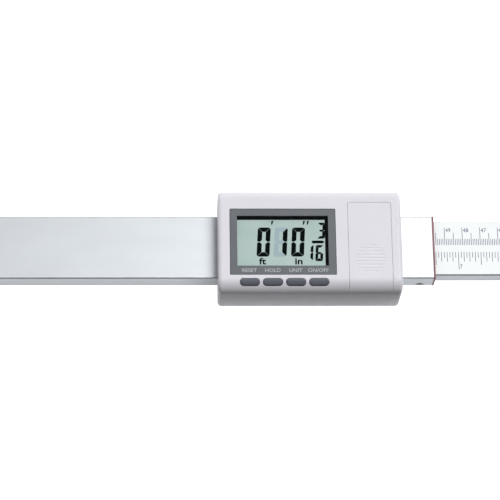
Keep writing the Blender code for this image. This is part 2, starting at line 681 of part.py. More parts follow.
def build_display():
    bezel_top = HOUSING_HEIGHT - BEZEL_SINK
    bezel = plate("bezel_plate", BEZEL_LOW, BEZEL_HIGH, bezel_top - BEZEL_THICKNESS,
                  bezel_top, GREY_PLASTIC)
    round_edges(bezel, BEZEL_CORNER, 3, ALONG_Z)
    cut(bezel, plate("bezel_window", WINDOW_LOW, WINDOW_HIGH, BOARD_TOP,
                     HOUSING_HEIGHT + THROUGH))
    lens_top = bezel_top - LENS_SINK
    lens_bottom = lens_top - LENS_THICKNESS
    plate("display_lens", WINDOW_LOW + FLAT_GAP / 2, WINDOW_HIGH - FLAT_GAP / 2,
          lens_bottom, lens_top, CLEAR_PLASTIC)
    lcd_bottom = LCD_TOP - LCD_THICKNESS
    frame = plate("lcd_frame", FRAME_LOW, FRAME_HIGH, lcd_bottom, lens_bottom - GLUE,
                  BLACK_PLASTIC)
    cut(frame, plate("lcd_frame_opening", LCD_LOW - FLAT_GAP, LCD_HIGH + FLAT_GAP,
                     BOARD_TOP, HOUSING_HEIGHT))
    plate("lcd_panel", LCD_LOW, LCD_HIGH, lcd_bottom, LCD_TOP, LCD_GREEN)
    for name, y in (("zebra_strip_front", LCD_LOW.y + ZEBRA_INSET),
                    ("zebra_strip_back", LCD_HIGH.y - ZEBRA_INSET)):
        block(name, (LCD_LOW.x + ZEBRA_INSET, y - ZEBRA_WIDTH / 2, BOARD_TOP + GAP / 2),
              (LCD_HIGH.x - ZEBRA_INSET, y + ZEBRA_WIDTH / 2, lcd_bottom - GAP / 2),
              SILICONE)


def build_main_board():
    board = plate("main_board", BOARD_LOW, BOARD_HIGH, BOARD_BOTTOM, BOARD_TOP,
                  BOARD_GREEN)
    for index, (x, y) in enumerate(BOARD_SCREWS):
        cut(board, hole(f"board_hole_{index + 1}", x, y, BOARD_BOTTOM - THROUGH,
                        BOARD_TOP + THROUGH, BOARD_SHANK + SHANK_GAP, sides=10))
        screw(f"board_screw_{index + 1}", x, y, BOARD_BOTTOM - BOARD_HEAD_HEIGHT - GLUE,
              BOARD_HEAD, BOARD_HEAD_HEIGHT, BOARD_SHANK, BOARD_SCREW_LENGTH)
    chip_top = BOARD_BOTTOM - GAP / 2
    plate("controller_chip", CHIP_LOW, CHIP_LOW + Vector((CHIP_SIZE, CHIP_SIZE)),
          chip_top - CHIP_HEIGHT, chip_top, BLACK_PLASTIC)


def build_sensor():
    """The read head over the rod, its holder and the flat cable up to the board."""
    sensor_bottom = ROD_TOP + SENSOR_HEIGHT
    sensor_top = sensor_bottom + SENSOR_THICKNESS
    plate("sensor_board", SENSOR_LOW, SENSOR_HIGH, sensor_bottom, sensor_top, BOARD_GREEN)
    holder_bottom = PROFILE_TOP + GAP / 2
    holder = plate("sensor_holder", SENSOR_LOW - HOLDER_MARGIN,
                   SENSOR_HIGH + HOLDER_MARGIN, holder_bottom,
                   holder_bottom + HOLDER_THICKNESS, BLACK_PLASTIC)
    cut(holder, plate("holder_window", SENSOR_LOW + HOLDER_RIM, SENSOR_HIGH - HOLDER_RIM,
                      0.0, HOUSING_HEIGHT))
    middle = (SENSOR_LOW.x + SENSOR_HIGH.x) / 2
    low_x, high_x = middle - FLEX_WIDTH / 2, middle + FLEX_WIDTH / 2
    low_z, high_z = sensor_top + GLUE, BOARD_BOTTOM - GLUE
    flex = block("flex_cable", (low_x, 0.0, low_z), (high_x, FLEX_THICKNESS, high_z),
                 AMBER_FILM)
    join(flex,
         block("flex_foot", (low_x, -FLEX_TAB, low_z),
               (high_x, FLEX_THICKNESS, low_z + FLEX_THICKNESS)),
         block("flex_head", (low_x, -FLEX_TAB, high_z - FLEX_THICKNESS),
               (high_x, FLEX_THICKNESS, high_z)))


def build_keys():
    for index, name in enumerate(KEY_NAMES):
        x = key_x(index)
        key = slab(f"button_{name}", stadium(x, KEY_Y, KEY_LENGTH, KEY_WIDTH), KEY_BOTTOM,
                   HOUSING_HEIGHT + THROUGH, DARK_PLASTIC)
        keep_inside(key, skin(f"key_crown_{name}", KEY_PROUD, 0.0, segments=8))
        flange_half = KEY_LENGTH / 2 + FLANGE_OVERHANG
        join(key, block(f"key_flange_{name}", (x - flange_half, KEY_Y, FLANGE_BOTTOM),
                        (x + flange_half, KEY_Y + FLANGE_REACH,
                         FLANGE_BOTTOM + FLANGE_THICKNESS)))
        switch = block(f"switch_{name}",
                       (x - SWITCH_LENGTH / 2, KEY_Y - SWITCH_WIDTH / 2, BOARD_TOP + GLUE),
                       (x + SWITCH_LENGTH / 2, KEY_Y + SWITCH_WIDTH / 2, SWITCH_TOP),
                       BLACK_PLASTIC)
        join(switch, hole(f"switch_stem_{name}", x, KEY_Y, STEM_TOP - STEM_LENGTH,
                          STEM_TOP, STEM_RADIUS, sides=10))


# ---------------------------------------------------------------- battery compartment

def build_battery_cover():
    door = skin("battery_cover", 0.0, 0.0, WHITE_PLASTIC)
    cut(door, skin("door_inside", -DOOR_THICKNESS, -THROUGH))
    keep_inside(door, block("door_outline", (DOOR_LOW_X, -HOUSING_WIDTH, DOOR_SKIRT_Z),
                            (DOOR_HIGH_X, DOOR_BACK_Y, HOUSING_HEIGHT + THROUGH)))
    rows = int(GRIP_RADIUS / GRIP_PITCH)
    for row in range(-rows, rows + 1):
        y = GRIP_CENTRE.y + row * GRIP_PITCH
        half = math.sqrt(GRIP_RADIUS ** 2 - (row * GRIP_PITCH) ** 2)
        cut(door, block(f"grip_groove_{row + rows + 1}",
                        (GRIP_CENTRE.x - half, y - GROOVE_WIDTH / 2,
                         HOUSING_HEIGHT - GROOVE_DEPTH),
                        (GRIP_CENTRE.x + half, y + GROOVE_WIDTH / 2,
                         HOUSING_HEIGHT + THROUGH)))


def spring_points(x, start_y, end_y, height):
    """A conical coil along Y, widest at its start."""
    count = SPRING_TURNS * SPRING_STEPS_PER_TURN
    points = []
    for step in range(count + 1):
        share = step / count
        radius = SPRING_BASE_RADIUS + (SPRING_TIP_RADIUS - SPRING_BASE_RADIUS) * share
        angle = 2 * math.pi * step / SPRING_STEPS_PER_TURN
        points.append((x + radius * math.cos(angle), start_y + (end_y - start_y) * share,
                       height + radius * math.sin(angle)))
    return points


def add_cell(name, x, foot_y, height, way):
    """A cell that lies along Y, its nub pointing towards way (-1 or +1)."""
    shoulder = CELL_LENGTH - CELL_NUB
    profile = [(0.0, CELL_LENGTH),
               (CELL_NUB_RADIUS, CELL_LENGTH),
               (CELL_NUB_RADIUS, shoulder),
               (CELL_RADIUS - CELL_ROLL, shoulder),
               (CELL_RADIUS, shoulder - CELL_EDGE),
               (CELL_RADIUS, CELL_EDGE),
               (CELL_RADIUS - CELL_EDGE, 0.0),
               (0.0, 0.0)]
    turned(name, profile, (x, foot_y, height), (math.radians(-90 * way), 0, 0),
           CELL_SLEEVE, steps=20)


def build_batteries():
    floor = PROFILE_TOP + GAP + TRAY_WALL
    height = floor + CELL_FLOAT + CELL_RADIUS
    inner_half = CELL_SPACING / 2 + CELL_RADIUS + TRAY_SIDE_GAP
    outer_half = inner_half + TRAY_WALL
    inner_low = TRAY_LOW_Y + TRAY_WALL
    inner_high = (inner_low + CELL_LENGTH + SPRING_LENGTH + 2 * CONTACT_THICKNESS
                  + TRAY_END_PLAY)
    tray = block("battery_tray", (DOOR_CENTRE_X - outer_half, TRAY_LOW_Y, floor - TRAY_WALL),
                 (DOOR_CENTRE_X + outer_half, inner_high + TRAY_WALL, HOUSING_HEIGHT),
                 BLACK_PLASTIC)
    keep_inside(tray, skin("tray_limit", -WALL - GAP, -THROUGH))
    cut(tray, block("tray_pocket", (DOOR_CENTRE_X - inner_half, inner_low, floor),
                    (DOOR_CENTRE_X + inner_half, inner_high, HOUSING_HEIGHT + THROUGH)))

    plate_low = floor + CONTACT_SEAT
    plate_high = height + CONTACT_RISE
    front_y = inner_low + CONTACT_SEAT
    back_y = inner_high - CONTACT_SEAT
    block("contact_bridge",
          (DOOR_CENTRE_X - inner_half + GAP, back_y - CONTACT_THICKNESS, plate_low),
          (DOOR_CENTRE_X + inner_half - GAP, back_y, plate_high), NICKEL)
    for index, way in enumerate((1, -1)):
        x = DOOR_CENTRE_X - way * CELL_SPACING / 2
        block(f"contact_front_{index + 1}", (x - CONTACT_WIDTH / 2, front_y, plate_low),
              (x + CONTACT_WIDTH / 2, front_y + CONTACT_THICKNESS, plate_high), NICKEL)
        base = front_y + CONTACT_THICKNESS if way > 0 else back_y - CONTACT_THICKNESS
        start = base + way * (SPRING_WIRE + GLUE)
        end = base + way * (SPRING_LENGTH - SPRING_WIRE)
        wire(f"battery_spring_{index + 1}", spring_points(x, start, end, height),
             SPRING_WIRE, NICKEL)
        add_cell(f"battery_{index + 1}", x, base + way * (SPRING_LENGTH + GLUE), height, way)


# ---------------------------------------------------------------- assembly

build_profile()
build_index_ring()
build_friction_stop()
build_rod()
build_tail_guide()
build_jaw("head_jaw", HEAD_FACE_X, -1, PROFILE_WIDTH / 2, PROFILE_BOTTOM, PROFILE_TOP)
build_jaw("foot_jaw", FOOT_FACE_X, 1, ROD_WIDTH / 2, ROD_BOTTOM, ROD_TOP)
build_top_shell()
build_bottom_cover()
build_display()
build_main_board()
build_sensor()
build_keys()
build_battery_cover()
build_batteries()
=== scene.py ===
"""Looks of the telescoping measuring rod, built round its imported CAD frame.

Every value is in metres in the row frame: +X along the rod towards the foot jaw, -Y
towards the side that the jaws reach out from, +Z up out of the display.
"""

import json
import math

import bmesh
import bpy
from mathutils import Matrix, Vector


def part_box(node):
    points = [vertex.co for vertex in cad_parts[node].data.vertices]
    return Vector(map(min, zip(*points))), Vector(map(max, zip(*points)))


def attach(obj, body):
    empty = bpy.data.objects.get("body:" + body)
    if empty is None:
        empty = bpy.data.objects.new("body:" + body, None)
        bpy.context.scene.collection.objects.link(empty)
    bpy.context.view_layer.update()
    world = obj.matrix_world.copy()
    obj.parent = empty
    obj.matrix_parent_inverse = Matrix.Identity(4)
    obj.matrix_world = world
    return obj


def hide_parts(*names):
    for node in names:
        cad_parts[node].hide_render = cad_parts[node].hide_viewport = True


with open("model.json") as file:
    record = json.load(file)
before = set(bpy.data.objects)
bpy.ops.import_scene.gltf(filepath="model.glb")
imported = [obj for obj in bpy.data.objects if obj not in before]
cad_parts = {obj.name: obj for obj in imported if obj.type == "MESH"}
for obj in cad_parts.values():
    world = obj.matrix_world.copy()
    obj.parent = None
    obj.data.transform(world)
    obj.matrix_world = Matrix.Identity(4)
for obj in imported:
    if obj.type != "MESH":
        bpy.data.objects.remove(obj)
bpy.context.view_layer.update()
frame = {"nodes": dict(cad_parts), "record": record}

MM = 0.001
NEAR = 0.01 * MM            # how close two coordinates are to count as equal
THROUGH = 2.0 * MM          # how far a cutter runs past the face it opens
SHARP = math.radians(38)    # edges above this angle are shaded as sharp
NOISE_RANGE = (0.3, 0.7)    # where nearly all values of a noise texture lie
CAPITAL_SHARE = 0.73        # height of the font's capitals, as a share of its size

# Places that the frame gives
SHELL_LOW, SHELL_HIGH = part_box("top_shell")
PROFILE_LOW, PROFILE_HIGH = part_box("outer_profile")
ROD_LOW, ROD_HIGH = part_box("inner_rod")
LABEL_LOW, LABEL_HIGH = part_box("scale_label")
BEZEL_LOW, BEZEL_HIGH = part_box("bezel_plate")
LENS_LOW, LENS_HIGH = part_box("display_lens")
LCD_LOW, LCD_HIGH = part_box("lcd_panel")
DOOR_LOW, DOOR_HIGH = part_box("battery_cover")
MOUTH_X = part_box("red_index_ring")[1].x
HEAD_FACE_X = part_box("head_jaw")[1].x
FOOT_FACE_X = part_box("foot_jaw")[0].x
REST_READING = FOOT_FACE_X - HEAD_FACE_X

# Housing and bezel
FILLET = 7.6 * MM
END_FILLET = 2.3 * MM
FOOT_FILLET = 1.0 * MM
WALL = 2.0 * MM
SEAM = 0.3 * MM
SOFT_EDGE = 0.22 * MM
BEZEL_RECESS = 1.4 * MM
BEZEL_SEAM = 0.15 * MM
BEZEL_CORNER = 0.35 * MM
WINDOW_SEAM = 0.075 * MM
COVER_CORNER = 1.5 * MM
CUT_FLOOR = 20.0 * MM       # where the cuts into the housing's top face end, inside it

# Extrusions and the red ring, which is drawn a little deeper than its CAD node
PROFILE_SIDE_WALL = 1.8 * MM
PROFILE_SKIN = 1.0 * MM
PROFILE_EDGE = 0.8 * MM
ROD_SIDE_WALL = 1.6 * MM
ROD_TOP_SKIN = 2.0 * MM
ROD_BOTTOM_SKIN = 1.4 * MM
ROD_EDGE = 0.9 * MM
STRIP_SEAT = 0.05 * MM
RING_DEPTH = 1.05 * MM
RING_BACK_X = MOUTH_X - RING_DEPTH
RING_EDGE = 0.2 * MM
GRUB_ROLL = 0.2 * MM
GRUB_SOCKET_RADIUS = 1.0 * MM

# Screws; the shares are of the head's radius
HOUSING_SCREWS = [f"housing_screw_{i}" for i in (1, 2, 3, 4)]
HOUSING_SCREWS += [f"profile_screw_{i}" for i in (1, 2)]
JAW_SCREWS = [(f"{side}_jaw_screw_{i}", body) for side, body in
              (("head", "frame"), ("foot", "slider")) for i in (1, 2)]
SCREW_HEAD = 0.8 * MM
SCREW_ROLL = 0.25 * MM
SCREW_RECESS = 0.5 * MM
SCREW_SLOT_HALF = 0.3 * MM
SHANK_SHARE = 0.545
CROSS_SHARE = 0.62
SHANK_HOLE_SHARE = 0.64
HEAD_HOLE_DEPTH = 0.9 * MM

# Jaws
JAW_SOCKET = 20.0 * MM
JAW_ROOT = 12.0 * MM
JAW_TIP = 6.5 * MM
JAW_SHOULDER = 8.0 * MM
JAW_WEB = 3.2 * MM
JAW_RIM = 3.0 * MM
JAW_CORNER = 4.0 * MM
JAW_TIP_CORNER = 1.5 * MM
JAW_TOP_EDGE = 1.2 * MM
JAW_SOFT_EDGE = 0.4 * MM

# Battery cover
DOOR_THICKNESS = 1.6 * MM
GRIP_CENTRE = Vector((33.4, -11.5)) * MM
GRIP_RADIUS = 8.5 * MM
GRIP_ROWS = 4
GRIP_PITCH = 1.95 * MM
GRIP_DEPTH = 0.12 * MM
GROOVE_RADIUS = 0.9 * MM
DOOR_GROWTH = 0.1 * MM      # how far the drawn door reaches beyond the CAD door
DOOR_SEAM = 0.08 * MM
DOOR_CORNER = 0.9 * MM

# Battery cells
CELL_NUB = 1.0 * MM
CELL_NUB_RADIUS = 1.9 * MM
CELL_ROLL = 0.3 * MM
CELL_SLEEVE = 0.6 * MM

# Keys
KEY_NAMES = ("reset", "hold", "unit", "power")
KEY_LABELS = ("RESET", "HOLD", "UNIT", "ON/OFF")
KEY_FLANGE = 0.6 * MM
KEY_FLANGE_RISE = (0.1 * MM, 0.9 * MM)
KEY_WIDTH = 3.9 * MM
KEY_SEAM = 0.15 * MM
KEY_CROWN = 0.5 * MM
KEY_ROLL = 0.55 * MM
KEY_ROLL_STEPS = 6
LABEL_X = [x * MM for x in (-33.8, -20.9, -8.3, 4.2)]
LABEL_CAP_HEIGHT = 2.15 * MM
LABEL_Y = -18.5 * MM
LABEL_RELIEF = 0.02 * MM
LABEL_STYLE = dict(weight=0.03 * MM, squeeze=1.07)

# Printed scale: common line and far end of each kind of mark, measured in Y
FILM_EDGE = 0.04 * MM
SCALE_RELIEF = 0.02 * MM
MARK_WIDTH = 0.29 * MM
METRIC_LINE = 1.75 * MM
METRIC_ENDS = {10: 12.26 * MM, 5: 9.06 * MM, 1: 5.45 * MM}
IMPERIAL_LINE = -2.36 * MM
IMPERIAL_ENDS = {16: -12.79 * MM, 8: -10.08 * MM, 2: -8.07 * MM, 1: -5.77 * MM}
INCH = 25.4 * MM
PARTS_PER_INCH = 16
INCHES_PER_FOOT = 12
NUMBER_HEIGHT = 2.5 * MM
NUMBER_GAP = 0.5 * MM
NUMBER_SQUEEZE = 0.9
METRIC_NUMBER_Y = 9.46 * MM
IMPERIAL_NUMBER_Y = -12.15 * MM

# Display
LENS_EDGE = 0.12 * MM
LCD_EDGE = 0.1 * MM
MASK_EDGE = 0.03 * MM
# The lap is only along the display's back and right edges: partly the frame's own edge, partly
# painted shadow of the recess wall
MASK_LIP = 0.35 * MM        # how far the black frame laps over the display
INK_RELIEF = 0.05 * MM
SLANT = math.tan(math.radians(3.4))

# Digits of the display; the shares are of a segment's stroke
SEGMENT_GAP = 0.07 * MM
SEGMENT_ROLL = 0.55
SEGMENT_TAPER = 0.4
SEGMENT_TIP = 0.15
BIG_DIGIT = dict(width=7.15 * MM, height=17.1 * MM, stroke=2.57 * MM)
SMALL_DIGIT = dict(width=4.2 * MM, height=9.4 * MM, stroke=1.5 * MM, gap=0.05 * MM)

# Lower left corners of the digits, and the other signs of the display
BIG_DIGIT_Y = -10.02 * MM
FEET_X = -29.72 * MM
INCH_TENS_X = -20.26 * MM   # the cell that shows a 1, with its other segments unlit
INCH_UNITS_X = -10.68 * MM
NUMERATOR = (4.05 * MM, 0.56 * MM)
DENOMINATOR_TENS = (-2.75 * MM, -12.4 * MM)
DENOMINATOR_UNITS = (2.72 * MM, -12.68 * MM)
FRACTION_BAR = dict(x=4.45 * MM, y=-1.45 * MM, length=6.8 * MM, width=1.65 * MM)
TICK_OUTLINE = [Vector(p) * MM for p in ((0, 0), (0.6, 0), (1.3, 2.2), (0.1, 2.2))]
TICK_Y = 8.85 * MM
TICK_X = (-21.4 * MM, -3.8 * MM, -1.6 * MM)
UNIT_Y = -14.5 * MM
UNIT_X = {"ft": -26.4 * MM, "in": -6.35 * MM}
UNIT_HEIGHT = 3.8 * MM
UNIT_STYLE = dict(weight=0.14 * MM, squeeze=1.2)

# Camera, fitted to the object's edges
CAMERA_AZIMUTH = -5.87
CAMERA_ELEVATION = 69.82
CAMERA_ROLL = 5.50
CAMERA_DISTANCE = 1.2385
CAMERA_LENS = 159.75
CAMERA_TARGET = Vector((-0.0328, -0.0017, 0.0150))
CAMERA_SENSOR = 36.0
CAMERA_CLIP = 0.01

# Light; the world goes from dim in front of the object to bright behind it
KEY_LIGHT = dict(energy=2.1, spread=35, direction=(0.4, 0.125, 1.0))
FILL_LIGHT = dict(energy=0.3, spread=60, direction=(-1.0, 0.1, 0.45))
WORLD_DIM = 0.1
WORLD_BRIGHT = 0.75
WORLD_DIM_Y = -0.12
WORLD_BRIGHT_Y = 0.85
FLOOR_RADIUS = 4.0
FLOOR_THICKNESS = 20.0 * MM
FLOOR_GAP = 0.1 * MM        # how far the floor lies below the object
# Painted shade on the floor: its tone drops to near black in front of the object, which dims
# the light it throws back onto the housing's front
FLOOR_TONES = ((-0.17, 0.2), (-0.12, 0.02), (-0.052, 0.02), (-0.033, 0.9))  # Y, tone
FLOOR_BOUNCE = 0.4          # extra light that the floor throws, as a share of its tone
FLOOR_GLOW = 1.0            # keeps the floor plain white to the camera


# ---------------------------------------------------------------- mesh helpers

def add_mesh(name, bm):
    """A new object from a bmesh, which is then freed."""
    bmesh.ops.recalc_face_normals(bm, faces=bm.faces)
    mesh = bpy.data.meshes.new(name)
    bm.to_mesh(mesh)
    bm.free()
    piece = bpy.data.objects.new(name, mesh)
    bpy.context.scene.collection.objects.link(piece)
    return piece


def block(name, low, high):
    """A box between two corners, its place in its mesh."""
    low, high = Vector(low), Vector(high)
    bm = bmesh.new()
    place = Matrix.Translation((low + high) / 2) @ Matrix.Diagonal((*(high - low), 1.0))
    bmesh.ops.create_cube(bm, size=1.0, matrix=place)
    return add_mesh(name, bm)


def prism(name, outline, bottom, top):
    """A flat outline in X and Y, extruded from one height to another."""
    bm = bmesh.new()
    face = bm.faces.new([bm.verts.new((x, y, bottom)) for x, y in outline])
    grown = bmesh.ops.extrude_face_region(bm, geom=[face])["geom"]
    lifted = [item for item in grown if isinstance(item, bmesh.types.BMVert)]
    bmesh.ops.translate(bm, verts=lifted, vec=(0, 0, top - bottom))
    return add_mesh(name, bm)


def lathe(name, profile, place, steps=48):
    """A solid of revolution; the profile is (radius, height) from axis to axis."""
    bm = bmesh.new()
    rings = []
    for radius, height in profile:
        if radius == 0:
            rings.append([bm.verts.new(place @ Vector((0, 0, height)))])
            continue
        ring = []
        for step in range(steps):
            angle = 2 * math.pi * step / steps
            point = Vector((radius * math.cos(angle), radius * math.sin(angle), height))
            ring.append(bm.verts.new(place @ point))
        rings.append(ring)
    for lower, upper in zip(rings, rings[1:]):
        for step in range(steps):
            after = (step + 1) % steps
            corners = [lower[step % len(lower)], lower[after % len(lower)],
                       upper[after % len(upper)], upper[step % len(upper)]]
            bm.faces.new(list(dict.fromkeys(corners)))
    return add_mesh(name, bm)


def upright(x, y, z):
    return Matrix.Translation((x, y, z))


def lying(x, y, z):
    """A place whose local +Z points along +Y."""
    return Matrix.Translation((x, y, z)) @ Matrix.Rotation(math.radians(-90), 4, "X")


def rod_between(name, x, y, bottom, top, radius, steps=32):
    """An upright cylinder between two heights."""
    profile = [(0, 0), (radius, 0), (radius, top - bottom), (0, top - bottom)]
    return lathe(name, profile, upright(x, y, bottom), steps)


def stadium(x, y, length, width, steps=16):
    """Outline of a bar along X with half-round ends."""
    radius = width / 2
    reach = length / 2 - radius
    outline = []
    for side, start in ((1, -90), (-1, 90)):
        for step in range(steps + 1):
            angle = math.radians(start + 180 * step / steps)
            outline.append((x + side * reach + radius * math.cos(angle),
                            y + radius * math.sin(angle)))
    return outline


def bevel(piece, width, segments, chosen):
    """Round the edges for which chosen(edge) is true."""
    bm = bmesh.new()
    bm.from_mesh(piece.data)
    picked = [edge for edge in bm.edges if chosen(edge)]
    bmesh.ops.bevel(bm, geom=picked, offset=width, segments=segments, profile=0.5,
                    affect="EDGES", clamp_overlap=False)
    bm.to_mesh(piece.data)
    bm.free()
    return piece


def between(test):
    """A choice of edges by a test of their two end points."""
    return lambda edge: test(edge.verts[0].co, edge.verts[1].co)


def along(index):
    """A choice of edges that run along one axis (0, 1 or 2)."""
    def test(a, b):
        return all(abs(a[i] - b[i]) < NEAR for i in range(3) if i != index)
    return between(test)


def sharp(edge):
    return len(edge.link_faces) == 2 and edge.calc_face_angle() > SHARP


def boolean(piece, operation, *others):
    """Cut, join or intersect at once, and remove the other shapes."""
    for other in others:
        modifier = piece.modifiers.new("boolean", "BOOLEAN")
        modifier.operation = operation
        modifier.solver = "EXACT"
        modifier.object = other
    bpy.context.view_layer.update()
    evaluated = piece.evaluated_get(bpy.context.evaluated_depsgraph_get())
    mesh = bpy.data.meshes.new_from_object(evaluated)
    piece.modifiers.clear()
    bm = bmesh.new()
    bm.from_mesh(mesh)
    bmesh.ops.remove_doubles(bm, verts=bm.verts, dist=NEAR / 10)
    bmesh.ops.dissolve_limit(bm, angle_limit=math.radians(0.2), verts=bm.verts,
                             edges=bm.edges)
    bm.to_mesh(piece.data)
    bm.free()
    for other in others:
        bpy.data.objects.remove(other, do_unlink=True)
    return piece


def cut(piece, *cutters):
    return boolean(piece, "DIFFERENCE", *cutters)


def gather(name, parts):
    """Join several objects into one mesh."""
    bm = bmesh.new()
    for part in parts:
        bm.from_mesh(part.data)
        bpy.data.objects.remove(part, do_unlink=True)
    return add_mesh(name, bm)


def lettering(text, x, y, height, bottom, relief, align="CENTER", weight=0.0, squeeze=1.0):
    """Raised letters whose baseline is at y, as a mesh in place."""
    font = bpy.data.curves.new("text", "FONT")
    font.body = text
    font.align_x = align
    font.size = height / CAPITAL_SHARE
    font.offset = weight
    font.extrude = relief / 2
    font.resolution_u = 3
    drawn = bpy.data.objects.new("text", font)
    bpy.context.scene.collection.objects.link(drawn)
    bpy.context.view_layer.update()
    mesh = bpy.data.meshes.new_from_object(
        drawn.evaluated_get(bpy.context.evaluated_depsgraph_get()))
    bpy.data.objects.remove(drawn, do_unlink=True)
    place = Matrix.Translation((x, y, bottom + relief / 2))
    mesh.transform(place @ Matrix.Diagonal((squeeze, 1.0, 1.0, 1.0)))
    mesh.materials.clear()
    letters = bpy.data.objects.new("letters", mesh)
    bpy.context.scene.collection.objects.link(letters)
    return letters


def show(piece, body, slot, *nodes):
    """Finish a piece's shading, and put it on its body in place of the CAD nodes."""
    piece.data.materials.append(FINISHES[slot])
    piece.data.polygons.foreach_set("use_smooth", [True] * len(piece.data.polygons))
    piece.data.set_sharp_from_angle(angle=SHARP)
    weighted = piece.modifiers.new("weighted normals", "WEIGHTED_NORMAL")
    weighted.keep_sharp = True
    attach(piece, body)
    if nodes:
        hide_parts(*nodes)
    return piece


# ---------------------------------------------------------------- finishes

class Finish:
    """A procedural material: a Principled shader with noise on colour, gloss and bump."""

    def __init__(self, name, roughness, metallic=0.0, **sockets):
        self.material = bpy.data.materials.new(name)
        self.material.use_nodes = True
        self.tree = self.material.node_tree
        self.shader = self.tree.nodes["Principled BSDF"]
        self.shader.inputs["Roughness"].default_value = roughness
        self.shader.inputs["Metallic"].default_value = metallic
        for socket, value in sockets.items():
            self.shader.inputs[socket.replace("_", " ")].default_value = value
        self.place = self.node("ShaderNodeTexCoord").outputs["Object"]

    def node(self, kind, **values):
        made = self.tree.nodes.new(kind)
        for name, value in values.items():
            setattr(made, name, value)
        return made

    def link(self, source, target):
        self.tree.links.new(source, target)

    def noise(self, size, stretch=(1, 1, 1), detail=3.0):
        """Noise with features of a given size in metres, stretched along the axes."""
        mapping = self.node("ShaderNodeMapping")
        mapping.inputs["Scale"].default_value = [1 / (size * s) for s in stretch]
        texture = self.node("ShaderNodeTexNoise")
        texture.inputs["Scale"].default_value = 1.0
        texture.inputs["Detail"].default_value = detail
        self.link(self.place, mapping.inputs["Vector"])
        self.link(mapping.outputs["Vector"], texture.inputs["Vector"])
        return texture.outputs["Fac"]

    def spread(self, source, low, high):
        """A noise value mapped from its usual range to low and high."""
        mapped = self.node("ShaderNodeMapRange")
        mapped.inputs["From Min"].default_value = NOISE_RANGE[0]
        mapped.inputs["From Max"].default_value = NOISE_RANGE[1]
        mapped.inputs["To Min"].default_value = low
        mapped.inputs["To Max"].default_value = high
        self.link(source, mapped.inputs["Value"])
        return mapped.outputs["Result"]

    def colours(self, source, *stops):
        """The base colour, between two or more colours as a noise value goes up."""
        ramp = self.node("ShaderNodeValToRGB")
        first, last = ramp.color_ramp.elements
        low, high = NOISE_RANGE
        first.position, last.position = low, high
        first.color = (*stops[0], 1)
        last.color = (*stops[-1], 1)
        for index, stop in enumerate(stops[1:-1]):
            place = low + (high - low) * (index + 1) / (len(stops) - 1)
            ramp.color_ramp.elements.new(place).color = (*stop, 1)
        self.link(source, ramp.inputs["Fac"])
        self.link(ramp.outputs["Color"], self.shader.inputs["Base Color"])
        return self

    def gloss(self, source, low, high):
        self.link(self.spread(source, low, high), self.shader.inputs["Roughness"])
        return self

    def bump(self, source, height):
        """Bumps of a given height in metres."""
        made = self.node("ShaderNodeBump")
        made.inputs["Strength"].default_value = 1.0
        made.inputs["Distance"].default_value = height
        self.link(source, made.inputs["Height"])
        self.link(made.outputs["Normal"], self.shader.inputs["Normal"])
        return self


def shade(colour, factor):
    return tuple(channel * factor for channel in colour)


def moulded(name, colour, roughness, variation=0.03, shine=0.5):
    """Moulded plastic: fine spark-eroded grain under a faint cloudiness."""
    finish = Finish(name, roughness, Specular_IOR_Level=shine)
    finish.colours(finish.noise(18 * MM, detail=2), shade(colour, 1 - variation), colour,
                   shade(colour, 1 + variation))
    finish.gloss(finish.noise(6 * MM), roughness - 0.05, roughness + 0.05)
    finish.bump(finish.noise(0.25 * MM), 0.006 * MM)
    return finish.material


def anodised(name, colour, roughness):
    """Clear anodised aluminium: faintly cloudy, with a very fine grain along the rod."""
    finish = Finish(name, roughness, metallic=0.9)
    finish.colours(finish.noise(9 * MM, (3, 1, 1)), shade(colour, 0.975), colour,
                   shade(colour, 1.02))
    finish.gloss(finish.noise(0.3 * MM, (40, 1, 1)), roughness - 0.02, roughness + 0.02)
    finish.bump(finish.noise(0.15 * MM, (60, 1, 1)), 0.0004 * MM)
    return finish.material


def metal(name, colour, roughness):
    """Plated metal with fine scratches and uneven gloss."""
    finish = Finish(name, roughness, metallic=1.0)
    finish.colours(finish.noise(2 * MM), shade(colour, 0.85), colour)
    finish.gloss(finish.noise(0.6 * MM, (1, 6, 1)), roughness - 0.08, roughness + 0.1)
    finish.bump(finish.noise(0.2 * MM, (1, 8, 1)), 0.003 * MM)
    return finish.material


def clear_window(name):
    """Clear acrylic: light passes, and the surface keeps a faint gloss."""
    finish = Finish(name, 0.08, Alpha=0.06, IOR=1.49)
    finish.colours(finish.noise(10 * MM), (0.002, 0.003, 0.003), (0.006, 0.007, 0.007))
    finish.gloss(finish.noise(3 * MM), 0.05, 0.12)
    finish.bump(finish.noise(8 * MM), 0.002 * MM)
    return finish.material


def reflective_display(name):
    """The liquid crystal's grey-green reflector, with a very fine sparkle."""
    finish = Finish(name, 0.4)
    finish.colours(finish.noise(14 * MM, detail=1), (0.53, 0.70, 0.655), (0.565, 0.725, 0.69),
                   (0.59, 0.735, 0.71))
    finish.gloss(finish.noise(2 * MM), 0.35, 0.45)
    finish.bump(finish.noise(0.15 * MM), 0.004 * MM)
    return finish.material


def printed_film(name):
    """White satin film of the scale."""
    finish = Finish(name, 0.38)
    finish.colours(finish.noise(8 * MM, (3, 1, 1)), (0.93, 0.965, 0.965), (0.95, 0.985, 0.985))
    finish.gloss(finish.noise(3 * MM), 0.32, 0.44)
    finish.bump(finish.noise(0.5 * MM), 0.003 * MM)
    return finish.material


def ink(name, colour, shine=0.3, variation=0.2):
    """Screen-printed ink of slightly uneven density."""
    finish = Finish(name, 0.5, Specular_IOR_Level=shine)
    finish.colours(finish.noise(0.8 * MM), shade(colour, 1 - variation),
                   shade(colour, 1 + variation))
    finish.gloss(finish.noise(1 * MM), 0.42, 0.58)
    finish.bump(finish.noise(0.15 * MM), 0.002 * MM)
    return finish.material


